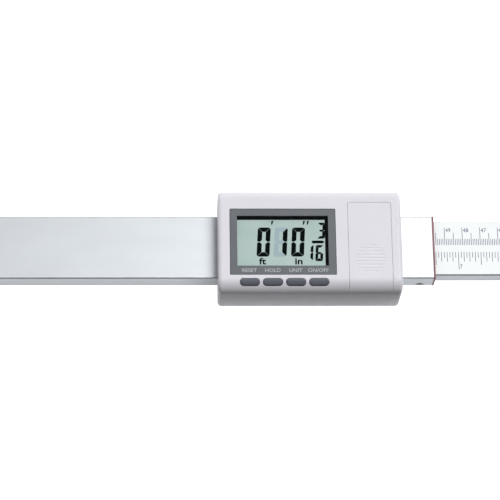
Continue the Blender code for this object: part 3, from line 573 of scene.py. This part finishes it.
def circuit_board(name):
    """Green solder mask over a faint pattern of copper lines."""
    finish = Finish(name, 0.35)
    finish.colours(finish.noise(1.5 * MM, (6, 1, 1), detail=0), (0.01, 0.07, 0.03),
                   (0.015, 0.1, 0.045), (0.03, 0.16, 0.07))
    finish.gloss(finish.noise(2 * MM), 0.25, 0.45)
    finish.bump(finish.noise(1.5 * MM, (6, 1, 1), detail=0), 0.02 * MM)
    return finish.material


FINISHES = {
    "white_plastic": moulded("white_plastic", (0.76, 0.75, 0.806), 0.42, 0.012),
    "grey_plastic": moulded("grey_plastic", (0.115, 0.128, 0.142), 0.45, 0.03),
    "dark_plastic": moulded("dark_plastic", (0.112, 0.122, 0.148), 0.42, 0.06),
    "black_plastic": moulded("black_plastic", (0.003, 0.004, 0.004), 0.5, 0.2, shine=0.02),
    "clear_lens": clear_window("clear_lens"),
    "nylon": moulded("nylon", (0.62, 0.60, 0.55), 0.5, 0.04),
    "red_plastic": moulded("red_plastic", (0.25, 0.085, 0.10), 0.45, 0.1),
    "anodised_aluminium": anodised("anodised_aluminium", (0.55, 0.577, 0.605), 0.42),
    "zinc_steel": metal("zinc_steel", (0.55, 0.55, 0.57), 0.32),
    "nickel_spring": metal("nickel_spring", (0.66, 0.63, 0.56), 0.25),
    "lcd_glass": reflective_display("lcd_glass"),
    "circuit_board": circuit_board("circuit_board"),
    "scale_print": printed_film("scale_print"),
    "amber_film": moulded("amber_film", (0.40, 0.17, 0.03), 0.3, 0.1),
    "cell_sleeve": moulded("cell_sleeve", (0.05, 0.12, 0.16), 0.3, 0.1),
    "silicone": moulded("silicone", (0.3, 0.3, 0.32), 0.65, 0.05),
}
SCALE_INK = ink("scale_ink", (0.045, 0.055, 0.16))
LCD_INK = ink("lcd_ink", (0.001, 0.004, 0.005), shine=0.01)
GHOST_INK = ink("ghost_ink", (0.465, 0.60, 0.66), variation=0.01)
LABEL_INK = ink("label_ink", (0.47, 0.49, 0.52))


def paint_cad_nodes():
    """Give every CAD node the finish of its slot; the replaced ones aren't shown."""
    for row in frame["record"]["subparts"]:
        mesh = frame["nodes"][row["node"]].data
        mesh.materials.clear()
        mesh.materials.append(FINISHES[row["material_slot"]])


# ---------------------------------------------------------------- housing

def skin(name, offset, bottom, segments=20):
    """The housing's outer form, grown or shrunk by an offset."""
    middle = (SHELL_LOW + SHELL_HIGH) / 2
    x = SHELL_HIGH.x - middle.x + offset
    y = SHELL_HIGH.y - middle.y + offset
    top = SHELL_HIGH.z + offset
    form = block(name, (-x, -y, bottom), (x, y, top))
    bevel(form, FILLET + offset, segments,
          lambda edge: along(0)(edge) and edge.verts[0].co.z > top - NEAR)
    if END_FILLET + offset > SEAM:
        bevel(form, END_FILLET + offset, 8,
              between(lambda a, b: abs(a.x + b.x) > 2 * (x - NEAR)
                      and max(a.z, b.z) > bottom + NEAR))
    if offset == 0:
        bevel(form, FOOT_FILLET, 4, between(lambda a, b: max(a.z, b.z) < bottom + NEAR))
    return form


def depth_in_skin(point):
    """How far a point lies inside the housing's rounded cross-section."""
    y = abs(point.y)
    z = point.z
    corner_y = SHELL_HIGH.y - FILLET
    corner_z = SHELL_HIGH.z - FILLET
    if y > corner_y and z > corner_z:
        return FILLET - math.hypot(y - corner_y, z - corner_z)
    return min(SHELL_HIGH.y - y, SHELL_HIGH.z - z)


def on_skin(edge):
    """A sharp edge on the housing's outer surface, such as the rim of an opening."""
    return sharp(edge) and all(depth_in_skin(vert.co) < 5 * NEAR for vert in edge.verts)


def key_outline(name, margin):
    """Outline of a key seen from above, grown by a margin."""
    low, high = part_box(name)
    length = high.x - low.x - 2 * KEY_FLANGE + 2 * margin
    return stadium((low.x + high.x) / 2, low.y + KEY_WIDTH / 2, length, KEY_WIDTH + 2 * margin)


def make_shell():
    shell = skin("shell_moulding", 0.0, SHELL_LOW.z)
    cut(shell, skin("inside", -WALL, SHELL_LOW.z - THROUGH))
    slot_half = PROFILE_HIGH.y + SEAM
    cut(shell, block("slot", (2 * SHELL_LOW.x, -slot_half, -THROUGH),
                     (2 * SHELL_HIGH.x, slot_half, PROFILE_HIGH.z + SEAM)))
    recess_low = (BEZEL_LOW.x - BEZEL_SEAM, BEZEL_LOW.y - BEZEL_SEAM,
                  SHELL_HIGH.z - BEZEL_RECESS)
    recess_high = (BEZEL_HIGH.x + BEZEL_SEAM, BEZEL_HIGH.y + BEZEL_SEAM,
                   SHELL_HIGH.z + THROUGH)
    recess = block("recess", recess_low, recess_high)
    bevel(recess, BEZEL_CORNER + BEZEL_SEAM, 6, along(2))
    frame_low, frame_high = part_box("lcd_frame")
    opening = block("opening",
                    (frame_low.x - BEZEL_SEAM, frame_low.y - BEZEL_SEAM, CUT_FLOOR),
                    (frame_high.x + BEZEL_SEAM, frame_high.y + BEZEL_SEAM,
                     SHELL_HIGH.z + THROUGH))
    door_way = door_outline("door_way", DOOR_SEAM)
    cut(shell, recess, opening, door_way)
    bevel(shell, SOFT_EDGE, 2, on_skin)
    for name in KEY_NAMES:
        cut(shell, prism("key_hole", key_outline(f"button_{name}", KEY_SEAM), CUT_FLOOR,
                         SHELL_HIGH.z + THROUGH))
    show(shell, "frame", "white_plastic", "top_shell")


def door_outline(name, margin):
    """The block that the battery door fills, running out to the front and the top."""
    outline = block(name, (DOOR_LOW.x - DOOR_GROWTH - margin, 2 * DOOR_LOW.y,
                           DOOR_LOW.z - margin),
                    (DOOR_HIGH.x + DOOR_GROWTH + margin, DOOR_HIGH.y + DOOR_GROWTH + margin,
                     SHELL_HIGH.z + THROUGH))
    return bevel(outline, DOOR_CORNER + margin, 6, lambda edge: along(2)(edge)
                 and edge.verts[0].co.y > DOOR_HIGH.y)


def grip_grooves():
    """Shallow round grooves across the grip, clipped by the grip's outline."""
    top = SHELL_HIGH.z
    length = 2 * GRIP_RADIUS
    profile = [(0, 0), (GROOVE_RADIUS, 0), (GROOVE_RADIUS, length), (0, length)]
    bars = []
    for row in range(-GRIP_ROWS, GRIP_ROWS + 1):
        start = (GRIP_CENTRE.x - GRIP_RADIUS, GRIP_CENTRE.y + row * GRIP_PITCH,
                 top + GROOVE_RADIUS - GRIP_DEPTH)
        place = Matrix.Translation(start) @ Matrix.Rotation(math.radians(90), 4, "Y")
        bars.append(lathe("bar", profile, place, steps=64))
    return boolean(gather("grooves", bars), "INTERSECT",
                   rod_between("disc", *GRIP_CENTRE, top - THROUGH, top + THROUGH,
                               GRIP_RADIUS, 96))


def make_cell(node, way):
    """A battery cell along Y, its nub pointing towards way: sleeve and bare metal ends."""
    low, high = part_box(node)
    middle = (low + high) / 2
    radius = (high.x - low.x) / 2
    length = high.y - low.y
    foot = Vector((middle.x, middle.y - way * length / 2, middle.z))
    place = Matrix.Translation(foot) @ Matrix.Rotation(math.radians(-90 * way), 4, "X")
    shoulder = length - CELL_NUB
    inner = radius - CELL_SLEEVE
    sleeve = [(inner, 0), (radius - CELL_SLEEVE / 2, 0), (radius, CELL_SLEEVE / 2),
              (radius, shoulder - CELL_SLEEVE), (inner, shoulder), (inner, 0)]
    show(lathe(f"{node}_sleeve", sleeve, place), "frame", "cell_sleeve", node)
    can = [(0, CELL_SLEEVE / 2), (inner, CELL_SLEEVE / 2), (inner, shoulder - CELL_SLEEVE / 2),
           (CELL_NUB_RADIUS, shoulder - CELL_SLEEVE / 2), (CELL_NUB_RADIUS, length - CELL_ROLL),
           (CELL_NUB_RADIUS - CELL_ROLL, length), (0, length)]
    show(lathe(f"{node}_can", can, place), "frame", "zinc_steel")


def make_battery_cover():
    door = skin("battery_door", 0.0, 0.0)
    cut(door, skin("inside", -DOOR_THICKNESS, -THROUGH))
    boolean(door, "INTERSECT", door_outline("outline", 0.0))
    bevel(door, SOFT_EDGE, 2, on_skin)
    cut(door, grip_grooves())
    show(door, "cover", "white_plastic", "battery_cover")


def skin_height(y):
    """Height of the housing's outside at a place in Y."""
    over = max(0.0, abs(y) - SHELL_HIGH.y + FILLET)
    return SHELL_HIGH.z - FILLET + math.sqrt(FILLET ** 2 - over ** 2)


def crowned_key(name):
    """A key whose top follows the housing, with a rolled edge."""
    bm = bmesh.new()
    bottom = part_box(name)[0].z
    rings = [[bm.verts.new((x, y, bottom)) for x, y in key_outline(name, 0.0)]]
    for step in range(KEY_ROLL_STEPS + 1):
        angle = math.radians(90 * step / KEY_ROLL_STEPS)
        rise = KEY_CROWN - KEY_ROLL * (1 - math.sin(angle))
        rings.append([bm.verts.new((x, y, skin_height(y) + rise))
                      for x, y in key_outline(name, KEY_ROLL * (math.cos(angle) - 1))])
    for lower, upper in zip(rings, rings[1:]):
        for index in range(len(lower)):
            bm.faces.new((lower[index - 1], lower[index], upper[index], upper[index - 1]))
    top = rings[-1]
    for index in range(len(top) // 2 - 1):
        bm.faces.new((top[index], top[index + 1], top[-2 - index], top[-1 - index]))
    bm.faces.new(rings[0])
    return add_mesh(f"{name}_moulding", bm)


def make_keys():
    flange_low, flange_high = KEY_FLANGE_RISE
    for name in KEY_NAMES:
        low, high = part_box(f"button_{name}")
        key = crowned_key(f"button_{name}")
        boolean(key, "UNION",
                block("flange", (low.x, low.y + KEY_WIDTH / 2, low.z + flange_low),
                      (high.x, high.y, low.z + flange_high)))
        show(key, f"{name}_key", "dark_plastic", f"button_{name}")


def cut_screw_hole(piece, node, margin, top):
    """A stepped hole for a screw's head and shank, from below up to a height."""
    low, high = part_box(node)
    middle = (low + high) / 2
    radius = (high.x - low.x) / 2
    cut(piece,
        rod_between("head_hole", middle.x, middle.y, -THROUGH, low.z + HEAD_HOLE_DEPTH,
                    radius + margin),
        rod_between("shank_hole", middle.x, middle.y, -THROUGH, top,
                    radius * SHANK_HOLE_SHARE))


def make_bottom_cover():
    low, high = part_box("bottom_cover")
    tongue_half = PROFILE_HIGH.y - SEAM
    inner_x = SHELL_HIGH.x - WALL - SEAM
    cover = block("bottom_plate", (-inner_x, low.y, low.z), (inner_x, high.y, high.z))
    bevel(cover, COVER_CORNER, 6, along(2))
    boolean(cover, "UNION", block("tongue", (low.x, -tongue_half, low.z),
                                  (high.x, tongue_half, high.z)))
    for node in HOUSING_SCREWS:
        cut_screw_hole(cover, node, SEAM / 2, high.z + THROUGH)
    bevel(cover, SOFT_EDGE, 2,
          lambda edge: sharp(edge) and max(vert.co.z for vert in edge.verts) < low.z + NEAR)
    show(cover, "frame", "white_plastic", "bottom_cover")


def make_screw(node, body):
    """A pan head with a cross recess, seen from below, and its shank pointing up."""
    low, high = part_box(node)
    middle = (low + high) / 2
    head = (high.x - low.x) / 2
    shank = head * SHANK_SHARE
    length = high.z - low.z
    roll = SCREW_ROLL
    profile = [(0, 0), (head - roll, 0), (head - roll * 0.3, roll * 0.3), (head, roll),
               (head, SCREW_HEAD), (shank, SCREW_HEAD), (shank, length - shank / 2),
               (shank / 2, length), (0, length)]
    piece = lathe(f"{node}_turned", profile, upright(middle.x, middle.y, low.z))
    arm = head * CROSS_SHARE
    for reach_x, reach_y in ((arm, SCREW_SLOT_HALF), (SCREW_SLOT_HALF, arm)):
        cut(piece, block("recess", (middle.x - reach_x, middle.y - reach_y, low.z - THROUGH),
                         (middle.x + reach_x, middle.y + reach_y, low.z + SCREW_RECESS)))
    show(piece, body, "zinc_steel", node)


# ---------------------------------------------------------------- display

def make_bezel():
    window_low = (LENS_LOW.x - WINDOW_SEAM, LENS_LOW.y - WINDOW_SEAM, CUT_FLOOR)
    window_high = (LENS_HIGH.x + WINDOW_SEAM, LENS_HIGH.y + WINDOW_SEAM,
                   SHELL_HIGH.z + THROUGH)
    bezel = block("bezel_frame", BEZEL_LOW, BEZEL_HIGH)
    bevel(bezel, BEZEL_CORNER, 6, along(2))
    cut(bezel, block("window", window_low, window_high))
    bevel(bezel, SOFT_EDGE, 2, lambda edge: sharp(edge)
          and min(vert.co.z for vert in edge.verts) > BEZEL_HIGH.z - NEAR)
    show(bezel, "frame", "grey_plastic", "bezel_plate")
    labels = []
    for label, x in zip(KEY_LABELS, LABEL_X):
        labels.append(lettering(label, x, LABEL_Y - LABEL_CAP_HEIGHT / 2, LABEL_CAP_HEIGHT,
                                BEZEL_HIGH.z, LABEL_RELIEF, **LABEL_STYLE))
    printed(gather("key_lettering", labels), "frame", LABEL_INK)


def printed(piece, body, material):
    """A thin print on a surface."""
    piece.data.materials.clear()
    piece.data.materials.append(material)
    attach(piece, body)
    return piece


def make_display():
    lens = block("window_pane", LENS_LOW, LENS_HIGH)
    bevel(lens, LENS_EDGE, 2, sharp)
    show(lens, "frame", "clear_lens", "display_lens")
    frame_low, frame_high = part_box("lcd_frame")
    mask = block("lcd_mask", frame_low, frame_high)
    corner = (LCD_LOW.x - BEZEL_SEAM, LCD_LOW.y - BEZEL_SEAM, CUT_FLOOR)
    seat_end = (LCD_HIGH.x + BEZEL_SEAM, LCD_HIGH.y + BEZEL_SEAM, LCD_HIGH.z + INK_RELIEF)
    # The black frame laps over the display only at its back and right edges, standing for the
    # frame's own edge and for painted shadow of the recess wall
    opening_end = (LCD_HIGH.x - MASK_LIP, LCD_HIGH.y - MASK_LIP, SHELL_HIGH.z + THROUGH)
    cut(mask, block("seat", corner, seat_end), block("opening", corner, opening_end))
    bevel(mask, MASK_EDGE, 2, sharp)
    show(mask, "frame", "black_plastic", "lcd_frame")
    face = block("lcd_face", LCD_LOW, LCD_HIGH)
    bevel(face, LCD_EDGE, 2, sharp)
    show(face, "frame", "lcd_glass", "lcd_panel")
    make_reading()


def arc(centre, radius, start, end, steps=3):
    """Points of an arc, from one angle in degrees to another."""
    points = []
    for step in range(steps + 1):
        angle = math.radians(start + (end - start) * step / steps)
        points.append(centre + radius * Vector((math.cos(angle), math.sin(angle))))
    return points


def mirrored(points, width):
    """Points of a digit's left half, turned over to its right half."""
    return [Vector((width - p.x, p.y)) for p in reversed(points)]


def digit_outlines(letters, width, height, stroke, gap=SEGMENT_GAP):
    """Outlines of some of a digit's segments, lower left corner at the origin.

    The letters go clockwise from the top, and g is the middle. Two segments share each
    corner's arc, with a mitred gap half way round it.
    """
    middle = height / 2
    roll = stroke * SEGMENT_ROLL
    taper = stroke * SEGMENT_TAPER
    mitre = 1.4 * gap
    corner = Vector((roll, height - roll))
    side = [Vector((0, middle + gap + stroke * SEGMENT_TIP)), *arc(corner, roll, 180, 137),
            Vector((stroke, height - stroke - mitre)),
            Vector((stroke, middle + taper + gap)), Vector((stroke / 2, middle + gap))]
    outer = arc(corner, roll, 133, 90)
    inner = Vector((stroke + mitre, height - stroke))
    left = [Vector((stroke + gap, middle - taper)), Vector((stroke / 2 + gap, middle)),
            Vector((stroke + gap, middle + taper))]
    shapes = {"a": [*outer, *mirrored([inner, *outer], width), inner], "f": side,
              "b": mirrored(side, width), "g": left + mirrored(left, width)}
    for upper, lower in (("a", "d"), ("f", "e"), ("b", "c")):
        shapes[lower] = [Vector((p.x, height - p.y)) for p in shapes[upper]]
    return [shapes[letter] for letter in letters]


def slanted(outline, x, y):
    """An outline moved to its place, leaning to the right."""
    return [(x + p.x + p.y * SLANT, y + p.y) for p in outline]


def lcd_shape(outline, x, y):
    return prism("shape", slanted(outline, x, y), LCD_HIGH.z, LCD_HIGH.z + INK_RELIEF)


def lcd_digit(letters, x, y, **size):
    return [lcd_shape(outline, x, y) for outline in digit_outlines(letters, **size)]


def make_reading():
    """What the display shows: feet, inches and sixteenths."""
    shapes = []
    for letters, x in (("abcdef", FEET_X), ("bc", INCH_TENS_X), ("abcdef", INCH_UNITS_X)):
        shapes += lcd_digit(letters, x, BIG_DIGIT_Y, **BIG_DIGIT)
    for letters, place in (("abcdg", NUMERATOR), ("acdefg", DENOMINATOR_UNITS),
                           ("bc", DENOMINATOR_TENS)):
        shapes += lcd_digit(letters, *place, **SMALL_DIGIT)
    bar = stadium(**FRACTION_BAR, steps=6)
    shapes.append(lcd_shape([Vector(point) for point in bar], 0, 0))
    for x in TICK_X:
        shapes.append(lcd_shape(TICK_OUTLINE, x, TICK_Y))
    for text, x in UNIT_X.items():
        shapes.append(lettering(text, x, UNIT_Y, UNIT_HEIGHT, LCD_HIGH.z, INK_RELIEF,
                                **UNIT_STYLE))
    printed(gather("lcd_reading", shapes), "frame", LCD_INK)
    unlit = lcd_digit("adefg", INCH_TENS_X, BIG_DIGIT_Y, **BIG_DIGIT)
    printed(gather("lcd_unlit", unlit), "frame", GHOST_INK)


# ---------------------------------------------------------------- rod and profile

def make_profile():
    profile = block("profile_extrusion", PROFILE_LOW,
                    (RING_BACK_X, PROFILE_HIGH.y, PROFILE_HIGH.z))
    bevel(profile, PROFILE_EDGE, 6, along(0))
    bore_half = PROFILE_HIGH.y - PROFILE_SIDE_WALL
    cut(profile, block("bore", (2 * PROFILE_LOW.x, -bore_half, PROFILE_LOW.z + PROFILE_SKIN),
                       (2 * PROFILE_HIGH.x, bore_half, PROFILE_HIGH.z - PROFILE_SKIN)))
    sensor_low, sensor_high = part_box("sensor_board")
    cut(profile, block("window", (sensor_low.x - SEAM, sensor_low.y - SEAM, ROD_HIGH.z),
                       (sensor_high.x + SEAM, sensor_high.y + SEAM,
                        PROFILE_HIGH.z + THROUGH)))
    grub_low, grub_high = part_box("friction_screw")
    middle = (grub_low + grub_high) / 2
    radius = (grub_high.x - grub_low.x) / 2
    hole = [(0, 0), (radius + SEAM / 2, 0), (radius + SEAM / 2, 3 * PROFILE_SIDE_WALL),
            (0, 3 * PROFILE_SIDE_WALL)]
    cut(profile, lathe("hole", hole, lying(middle.x, PROFILE_LOW.y - PROFILE_SIDE_WALL,
                                           middle.z)))
    show(profile, "frame", "anodised_aluminium", "outer_profile")


def make_index_ring():
    low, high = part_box("red_index_ring")
    low.x = RING_BACK_X
    ring = block("index_ring", low, high)
    bevel(ring, PROFILE_EDGE, 6, along(0))
    opening_half = PROFILE_HIGH.y - PROFILE_SIDE_WALL
    cut(ring, block("opening", (low.x - THROUGH, -opening_half, PROFILE_LOW.z + PROFILE_SKIN),
                    (high.x + THROUGH, opening_half, PROFILE_HIGH.z - PROFILE_SKIN)))
    bevel(ring, RING_EDGE, 2, lambda edge: sharp(edge)
          and min(vert.co.x for vert in edge.verts) > high.x - NEAR)
    show(ring, "frame", "red_plastic", "red_index_ring")


def make_friction_screw():
    low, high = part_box("friction_screw")
    radius = (high.x - low.x) / 2
    length = high.y - low.y
    profile = [(0, 0), (radius - GRUB_ROLL, 0), (radius, GRUB_ROLL), (radius, length),
               (0, length)]
    place = lying((low.x + high.x) / 2, low.y, (low.z + high.z) / 2)
    grub = lathe("friction_grub", profile, place)
    socket = [(0, -THROUGH), (GRUB_SOCKET_RADIUS, -THROUGH),
              (GRUB_SOCKET_RADIUS, length / 2), (0, length / 2)]
    cut(grub, lathe("socket", socket, place, steps=6))
    show(grub, "frame", "zinc_steel", "friction_screw")


def make_rod():
    rod = block("rod_extrusion", ROD_LOW, ROD_HIGH)
    bevel(rod, ROD_EDGE, 4, along(0))
    bore_half = ROD_HIGH.y - ROD_SIDE_WALL
    cut(rod, block("bore", (2 * ROD_LOW.x, -bore_half, ROD_LOW.z + ROD_BOTTOM_SKIN),
                   (2 * ROD_HIGH.x, bore_half, ROD_HIGH.z - ROD_TOP_SKIN)))
    strip_low, strip_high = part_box("encoder_strip")
    groove_half = strip_high.y + SEAM / 2
    cut(rod, block("groove", (2 * ROD_LOW.x, -groove_half, strip_low.z - STRIP_SEAT),
                   (strip_high.x + SEAM, groove_half, ROD_HIGH.z + THROUGH)))
    show(rod, "slider", "anodised_aluminium", "inner_rod")
    film = block("scale_film", LABEL_LOW, LABEL_HIGH)
    bevel(film, FILM_EDGE, 2, sharp)
    show(film, "slider", "scale_print", "scale_label")
    make_scale()


def reading_at(x):
    """The reading of the printed scale at a place on the rod, in the rest pose."""
    return REST_READING + MOUTH_X - x


def scale_range(step):
    """The counts of a step whose marks lie on the film."""
    first = math.ceil((reading_at(LABEL_HIGH.x) + MARK_WIDTH) / step)
    last = math.floor((reading_at(LABEL_LOW.x) - MARK_WIDTH) / step)
    return range(first, last + 1)


def mark(count, step, line, ends):
    """One mark; its length follows the largest division that its count fits."""
    x = MOUTH_X + REST_READING - count * step
    end = next(y for division, y in ends.items() if count % division == 0)
    return block("mark", (x - MARK_WIDTH / 2, min(line, end), LABEL_HIGH.z),
                 (x + MARK_WIDTH / 2, max(line, end), LABEL_HIGH.z + SCALE_RELIEF))


def number(text, count, step, y):
    x = MOUTH_X + REST_READING - count * step + NUMBER_GAP
    return lettering(text, x, y, NUMBER_HEIGHT, LABEL_HIGH.z, SCALE_RELIEF, "LEFT",
                     squeeze=NUMBER_SQUEEZE)


def make_scale():
    """Centimetres along the back of the film, and feet and inches along the front."""
    marks = []
    numbers = []
    for count in scale_range(MM):
        marks.append(mark(count, MM, METRIC_LINE, METRIC_ENDS))
        if count % 10 == 0:
            numbers.append(number(str(count // 10), count, MM, METRIC_NUMBER_Y))
    part = INCH / PARTS_PER_INCH
    for count in scale_range(part):
        marks.append(mark(count, part, IMPERIAL_LINE, IMPERIAL_ENDS))
        inches, rest = divmod(count, PARTS_PER_INCH)
        if rest == 0:
            feet, left = divmod(inches, INCHES_PER_FOOT)
            text = str(left) if left else f"{feet}FT"
            numbers.append(number(text, count, part, IMPERIAL_NUMBER_Y))
    printed(gather("scale_marks", marks), "slider", SCALE_INK)
    printed(gather("scale_numbers", numbers), "slider", SCALE_INK)


# ---------------------------------------------------------------- jaws

def make_jaw(node, body, outward, tube_low, tube_high):
    low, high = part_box(node)
    face_x, back_x = (high.x, low.x) if outward < 0 else (low.x, high.x)
    sleeve = high.y
    tip_y = low.y
    outline = [(face_x, sleeve), (face_x, tip_y), (face_x + outward * JAW_TIP, tip_y),
               (face_x + outward * JAW_ROOT, -sleeve - JAW_SHOULDER), (back_x, -sleeve),
               (back_x, sleeve)]
    jaw = prism(f"{node}_moulding", outline, low.z, high.z)
    bevel(jaw, JAW_CORNER, 10, lambda edge: along(2)(edge)
          and abs(edge.verts[0].co.x - back_x) < NEAR)
    bevel(jaw, JAW_TIP_CORNER, 8, lambda edge: along(2)(edge)
          and abs(edge.verts[0].co.y - tip_y) < NEAR)
    bevel(jaw, JAW_TOP_EDGE, 5, between(lambda a, b: min(a.z, b.z) > high.z - NEAR))
    low_x, high_x = sorted((face_x - outward * THROUGH, face_x + outward * JAW_SOCKET))
    cut(jaw, block("socket", (low_x, tube_low.y - SEAM, tube_low.z - SEAM),
                   (high_x, tube_high.y + SEAM, tube_high.z + SEAM)))
    low_x, high_x = sorted((face_x + outward * JAW_WEB, face_x + outward * 2 * JAW_ROOT))
    pocket_end = -sleeve - JAW_SHOULDER - THROUGH
    pocket_length = (pocket_end - tip_y) / 2 - JAW_RIM
    for index in range(2):
        start = tip_y + JAW_RIM + index * (pocket_length + JAW_RIM)
        pocket = block("pocket", (low_x, start, low.z + JAW_RIM),
                       (high_x, start + pocket_length, high.z - JAW_RIM))
        bevel(pocket, JAW_TIP_CORNER, 5, along(0))
        cut(jaw, pocket)
    for index in (1, 2):
        cut_screw_hole(jaw, f"{node}_screw_{index}", SEAM, tube_low.z + SEAM)
    bevel(jaw, JAW_SOFT_EDGE, 3, sharp)
    show(jaw, body, "white_plastic", node)


# ---------------------------------------------------------------- scene

def seen_directly(tree):
    """1 where the camera sees a surface itself, and 0 in what the surface lights."""
    return tree.nodes.new("ShaderNodeLightPath").outputs["Is Camera Ray"]


def make_floor():
    """A large floor, plain white to the camera, with painted shade: darker tones in front of
    the object, which show in the light that the floor throws back onto it.
    """
    disc = stadium(0, 0, 2 * FLOOR_RADIUS, 2 * FLOOR_RADIUS)
    floor = prism("floor", disc, -FLOOR_THICKNESS, -FLOOR_GAP)
    finish = Finish("floor", 0.9, Specular_IOR_Level=0.0)
    split = finish.node("ShaderNodeSeparateXYZ")
    finish.link(finish.place, split.inputs["Vector"])
    start, end = FLOOR_TONES[0][0], FLOOR_TONES[-1][0]
    along_y = finish.node("ShaderNodeMapRange")
    along_y.inputs["From Min"].default_value = start
    along_y.inputs["From Max"].default_value = end
    finish.link(split.outputs["Y"], along_y.inputs["Value"])
    ramp = finish.node("ShaderNodeValToRGB")
    ramp.color_ramp.interpolation = "EASE"
    stops = ramp.color_ramp.elements
    for y, tone in FLOOR_TONES[1:-1]:
        stops.new((y - start) / (end - start)).color = (tone, tone, tone, 1)
    for stop, tone in ((stops[0], FLOOR_TONES[0][1]), (stops[-1], FLOOR_TONES[-1][1])):
        stop.color = (tone, tone, tone, 1)
    finish.link(along_y.outputs["Result"], ramp.inputs["Fac"])
    finish.link(ramp.outputs["Color"], finish.shader.inputs["Base Color"])
    bounce = finish.node("ShaderNodeMath", operation="MULTIPLY")
    bounce.inputs[1].default_value = FLOOR_BOUNCE
    finish.link(ramp.outputs["Color"], bounce.inputs[0])
    glow = finish.node("ShaderNodeMath", operation="MULTIPLY_ADD")
    glow.inputs[1].default_value = FLOOR_GLOW
    finish.link(seen_directly(finish.tree), glow.inputs[0])
    finish.link(bounce.outputs["Value"], glow.inputs[2])
    finish.link(glow.outputs["Value"], finish.shader.inputs["Emission Strength"])
    finish.shader.inputs["Emission Color"].default_value = (1, 1, 1, 1)
    floor.data.materials.append(finish.material)


def make_world():
    """Soft white surroundings, dimmer in front of the object."""
    world = bpy.data.worlds.new("studio")
    bpy.context.scene.world = world
    world.use_nodes = True
    tree = world.node_tree
    background = tree.nodes["Background"]
    place = tree.nodes.new("ShaderNodeTexCoord")
    split = tree.nodes.new("ShaderNodeSeparateXYZ")
    level = tree.nodes.new("ShaderNodeMapRange")
    level.interpolation_type = "SMOOTHSTEP"
    level.inputs["From Min"].default_value = WORLD_DIM_Y
    level.inputs["From Max"].default_value = WORLD_BRIGHT_Y
    level.inputs["To Min"].default_value = WORLD_DIM
    level.inputs["To Max"].default_value = WORLD_BRIGHT
    brightest = tree.nodes.new("ShaderNodeMath")
    brightest.operation = "MAXIMUM"
    tree.links.new(place.outputs["Generated"], split.inputs["Vector"])
    tree.links.new(split.outputs["Y"], level.inputs["Value"])
    tree.links.new(level.outputs["Result"], brightest.inputs[0])
    tree.links.new(seen_directly(tree), brightest.inputs[1])
    tree.links.new(brightest.outputs["Value"], background.inputs["Strength"])
    background.inputs["Color"].default_value = (1, 1, 1, 1)


def make_sun(name, energy, spread, direction):
    """A soft distant light that shines from a direction."""
    light = bpy.data.lights.new(name, "SUN")
    light.energy = energy
    light.angle = math.radians(spread)
    sun = bpy.data.objects.new(name, light)
    bpy.context.scene.collection.objects.link(sun)
    sun.rotation_euler = Vector(direction).to_track_quat("Z", "Y").to_euler()


def make_camera():
    azimuth = math.radians(CAMERA_AZIMUTH)
    elevation = math.radians(CAMERA_ELEVATION)
    back = Vector((math.sin(azimuth) * math.cos(elevation),
                   -math.cos(azimuth) * math.cos(elevation), math.sin(elevation)))
    turn = back.to_track_quat("Z", "Y").to_matrix()
    turn = turn @ Matrix.Rotation(math.radians(CAMERA_ROLL), 3, "Z")
    data = bpy.data.cameras.new("camera")
    data.lens = CAMERA_LENS
    data.sensor_width = CAMERA_SENSOR
    data.clip_start = CAMERA_CLIP
    camera = bpy.data.objects.new("camera", data)
    bpy.context.scene.collection.objects.link(camera)
    camera.matrix_world = (Matrix.Translation(CAMERA_TARGET + back * CAMERA_DISTANCE)
                           @ turn.to_4x4())
    bpy.context.scene.camera = camera


bpy.context.scene.view_settings.view_transform = "Standard"
make_camera()
make_world()
make_sun("key", **KEY_LIGHT)
make_sun("fill", **FILL_LIGHT)
make_floor()
paint_cad_nodes()
make_shell()
make_battery_cover()
make_cell("battery_1", 1)
make_cell("battery_2", -1)
make_keys()
make_bottom_cover()
for screw_node in HOUSING_SCREWS:
    make_screw(screw_node, "frame")
for screw_node, screw_body in JAW_SCREWS:
    make_screw(screw_node, screw_body)
make_bezel()
make_display()
make_profile()
make_index_ring()
make_friction_screw()
make_rod()
make_jaw("head_jaw", "frame", -1, PROFILE_LOW, PROFILE_HIGH)
make_jaw("foot_jaw", "slider", 1, ROD_LOW, ROD_HIGH)
